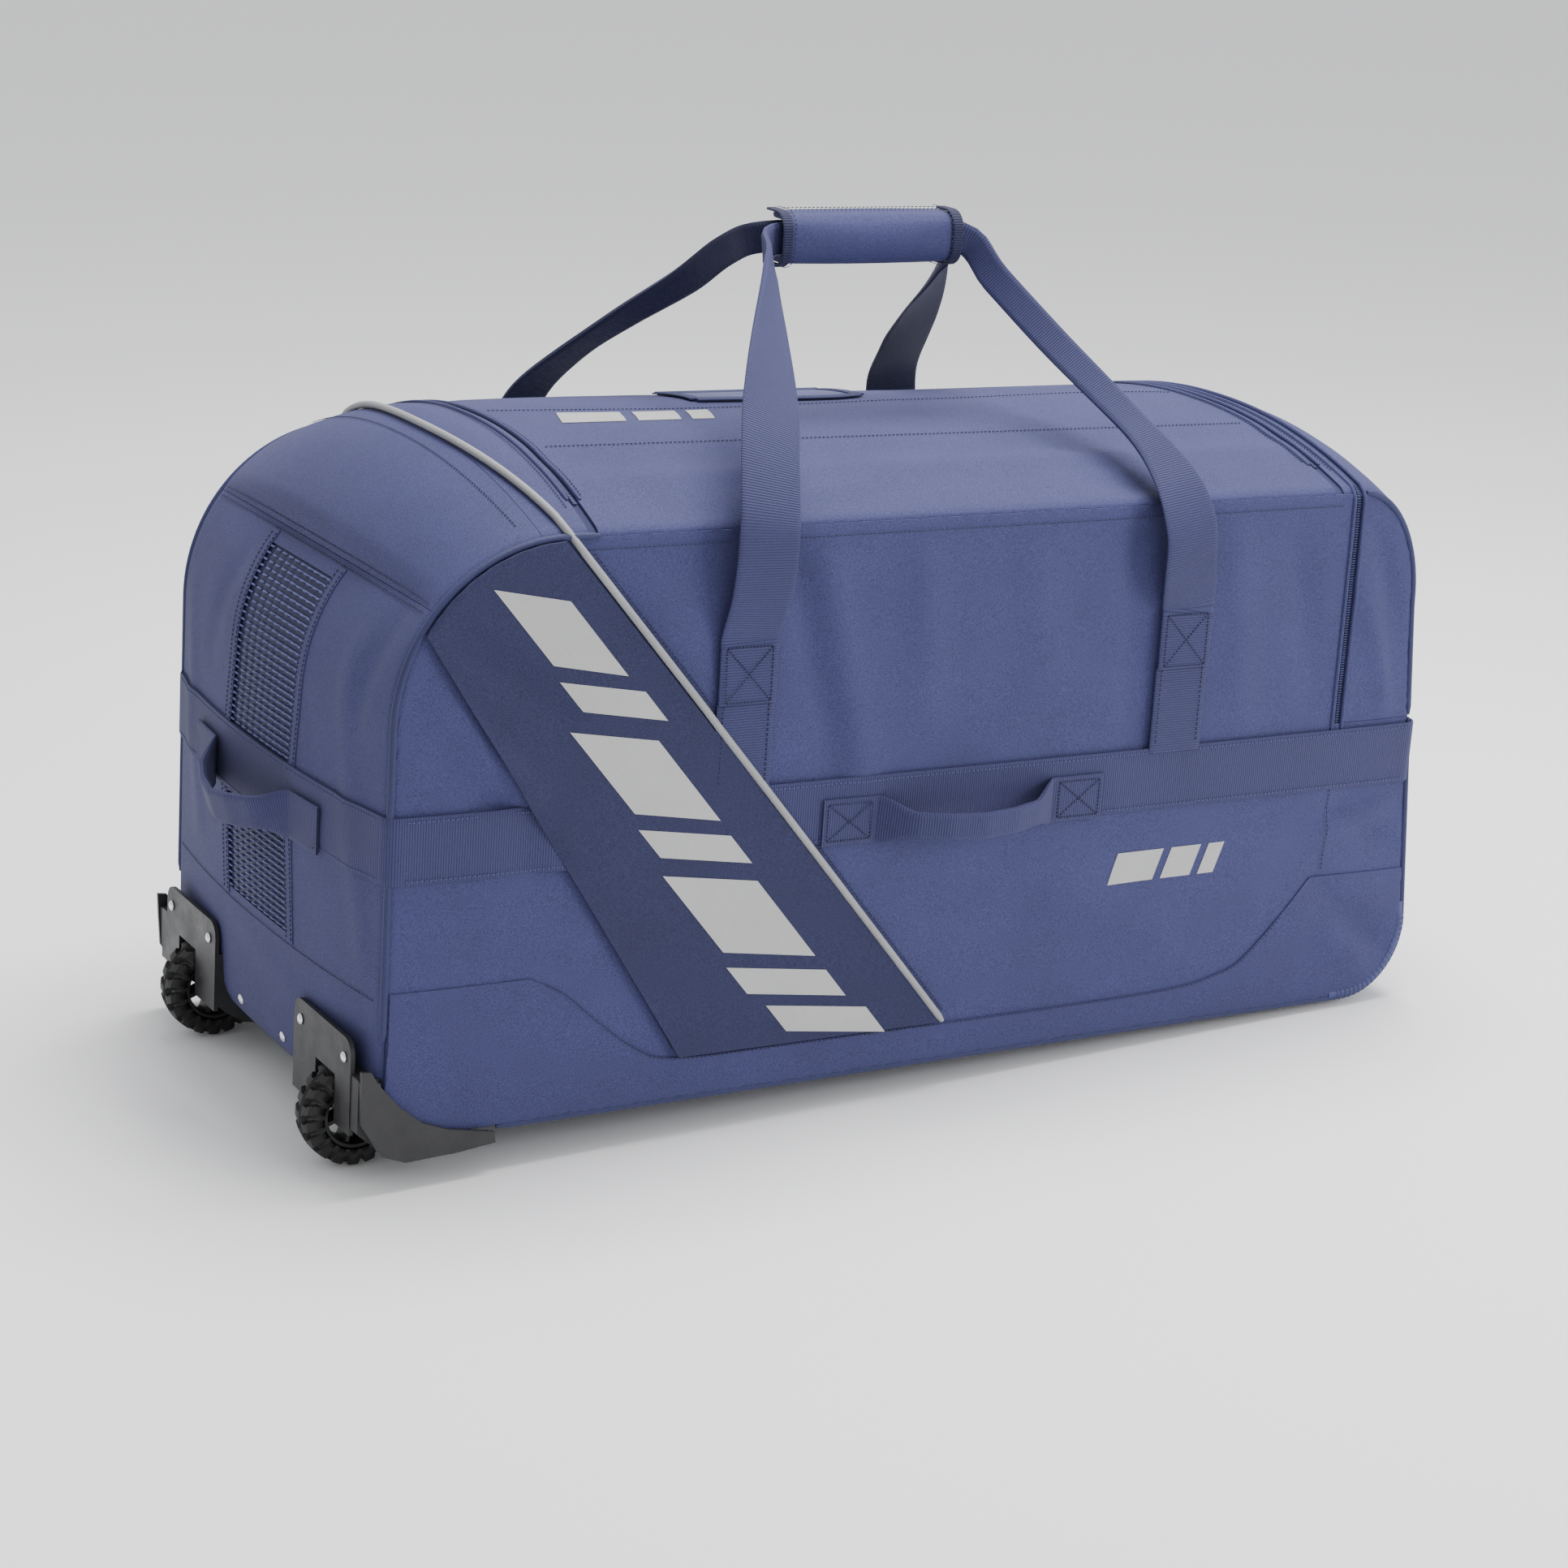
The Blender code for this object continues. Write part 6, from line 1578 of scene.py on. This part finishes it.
def soften(piece, width, segments=2):
    edge = piece.modifiers.new("edges", "BEVEL")
    edge.width, edge.segments, edge.limit_method = width, segments, "ANGLE"
    edge.angle_limit = radians(40)
    return piece


make_wheels()


# ---------------------------------------------------------------- moulded plastic
def recast(node, name, look, body, width, segments=3):
    """A finer copy of a moulded CAD piece: its edges rounded as the mould leaves them."""
    mesh = frame["nodes"][node].data.copy()
    shape = bmesh.new()
    shape.from_mesh(mesh)
    bmesh.ops.remove_doubles(shape, verts=shape.verts, dist=0.00002)
    bmesh.ops.dissolve_limit(shape, angle_limit=radians(1.0), verts=shape.verts,
                             edges=shape.edges)
    shape.to_mesh(mesh)
    shape.free()
    mesh.materials.clear()
    mesh.materials.append(LOOKS[look])
    piece = bpy.data.objects.new(name, mesh)
    bpy.context.scene.collection.objects.link(piece)
    soften(piece, width, segments)
    piece.data.shade_smooth()
    piece.data.set_sharp_from_angle(angle=radians(35))
    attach(piece, body)
    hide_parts(node)
    return piece


def make_mouldings():
    for side in ("near", "far"):
        recast("wheel_housing_" + side, "housing_moulding_" + side, "plastic", "bag", 0.0011)
    for node in [n for n in frame["nodes"] if n.startswith("rivet_")]:
        piece = recast(node, node + "_head", "steel", "bag", 0.0004, 2)
        piece.data.set_sharp_from_angle(angle=radians(60))
    for node, body in (("lid_slider_left", "lid_slider_1"), ("lid_slider_right", "lid_slider_2"),
                       ("pocket_slider", "pocket_slide")):
        recast(node, node + "_cast", "slider", body, 0.0005, 2)
    for node, look in (("axle_near", "steel"), ("axle_far", "steel"), ("base_board", "board"),
                       ("wheel_end_board", "board")):
        piece = frame["nodes"][node]
        piece.data.materials.clear()
        piece.data.materials.append(LOOKS[look])
    for side, far in SIDES:
        make_guard(side, far)


GUARD_RADIUS, GUARD_RIB, GUARD_THICK = 0.0064, 0.0009, 0.0014


def make_guard(side, far):
    """Ribbed edge guard round the lower corner of the pulling end."""
    ribs, per_rib, rounds, centre = 25, 4, 12, 0.0050
    s = spots(at_pulling_end(0.094), on_bottom(0.889))
    s = np.linspace(s[0], s[-1], per_rib * ribs + 1)
    points, uvs = [], []
    for k, spot in enumerate(s):
        x, z, nx, nz = (float(v) for v in outline_at(spot))
        raised = k % per_rib in (1, 2) and 6 < k < per_rib * ribs - 6
        reach = GUARD_RADIUS + (GUARD_RIB if raised else 0.0)
        for n in range(rounds + 1):
            a = radians(-28 + 146 * n / rounds)
            y, out = centre - reach * sin(a), reach * cos(a) - centre
            points.append((x + nx * out, DEPTH - y if far else y, z + nz * out))
            uvs.append((spot, a * reach))
    count = rounds + 1
    faces = [[i * count + k, i * count + k + 1, (i + 1) * count + k + 1, (i + 1) * count + k]
             for i in range(len(s) - 1) for k in range(rounds)]
    piece = thick_piece(side + "_guard_ribbed", points, faces, uvs, GUARD_THICK, "guard")
    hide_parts(side + "_edge_guard")


def thick_piece(name, points, faces, uvs, thick, look):
    """An open strip closed into a shell by moving its copy inwards."""
    mesh = bpy.data.meshes.new("strip")
    mesh.from_pydata([tuple(p) for p in points], [], [tuple(f) for f in faces])
    normals = np.zeros(3 * len(points))
    mesh.vertices.foreach_get("normal", normals)
    normals = normals.reshape(-1, 3)
    table = np.array(points, float)
    if ((table - np.array(CENTRE)) * normals).sum() < 0:
        normals = -normals
        faces = [list(reversed(f)) for f in faces]
    inner = table - normals * thick
    count = len(points)
    edges = {}
    for f in faces:
        for a, b in zip(f, f[1:] + f[:1]):
            edges[(a, b)] = edges.get((a, b), 0) + 1
    rim = [(a, b) for a, b in edges if (b, a) not in edges]
    full = list(faces) + [[k + count for k in reversed(f)] for f in faces]
    full += [[b, a, a + count, b + count] for a, b in rim]
    bpy.data.meshes.remove(mesh)
    return build(name, np.concatenate([table, inner]), full, look, "bag", list(uvs) * 2, sharp=30)


make_mouldings()
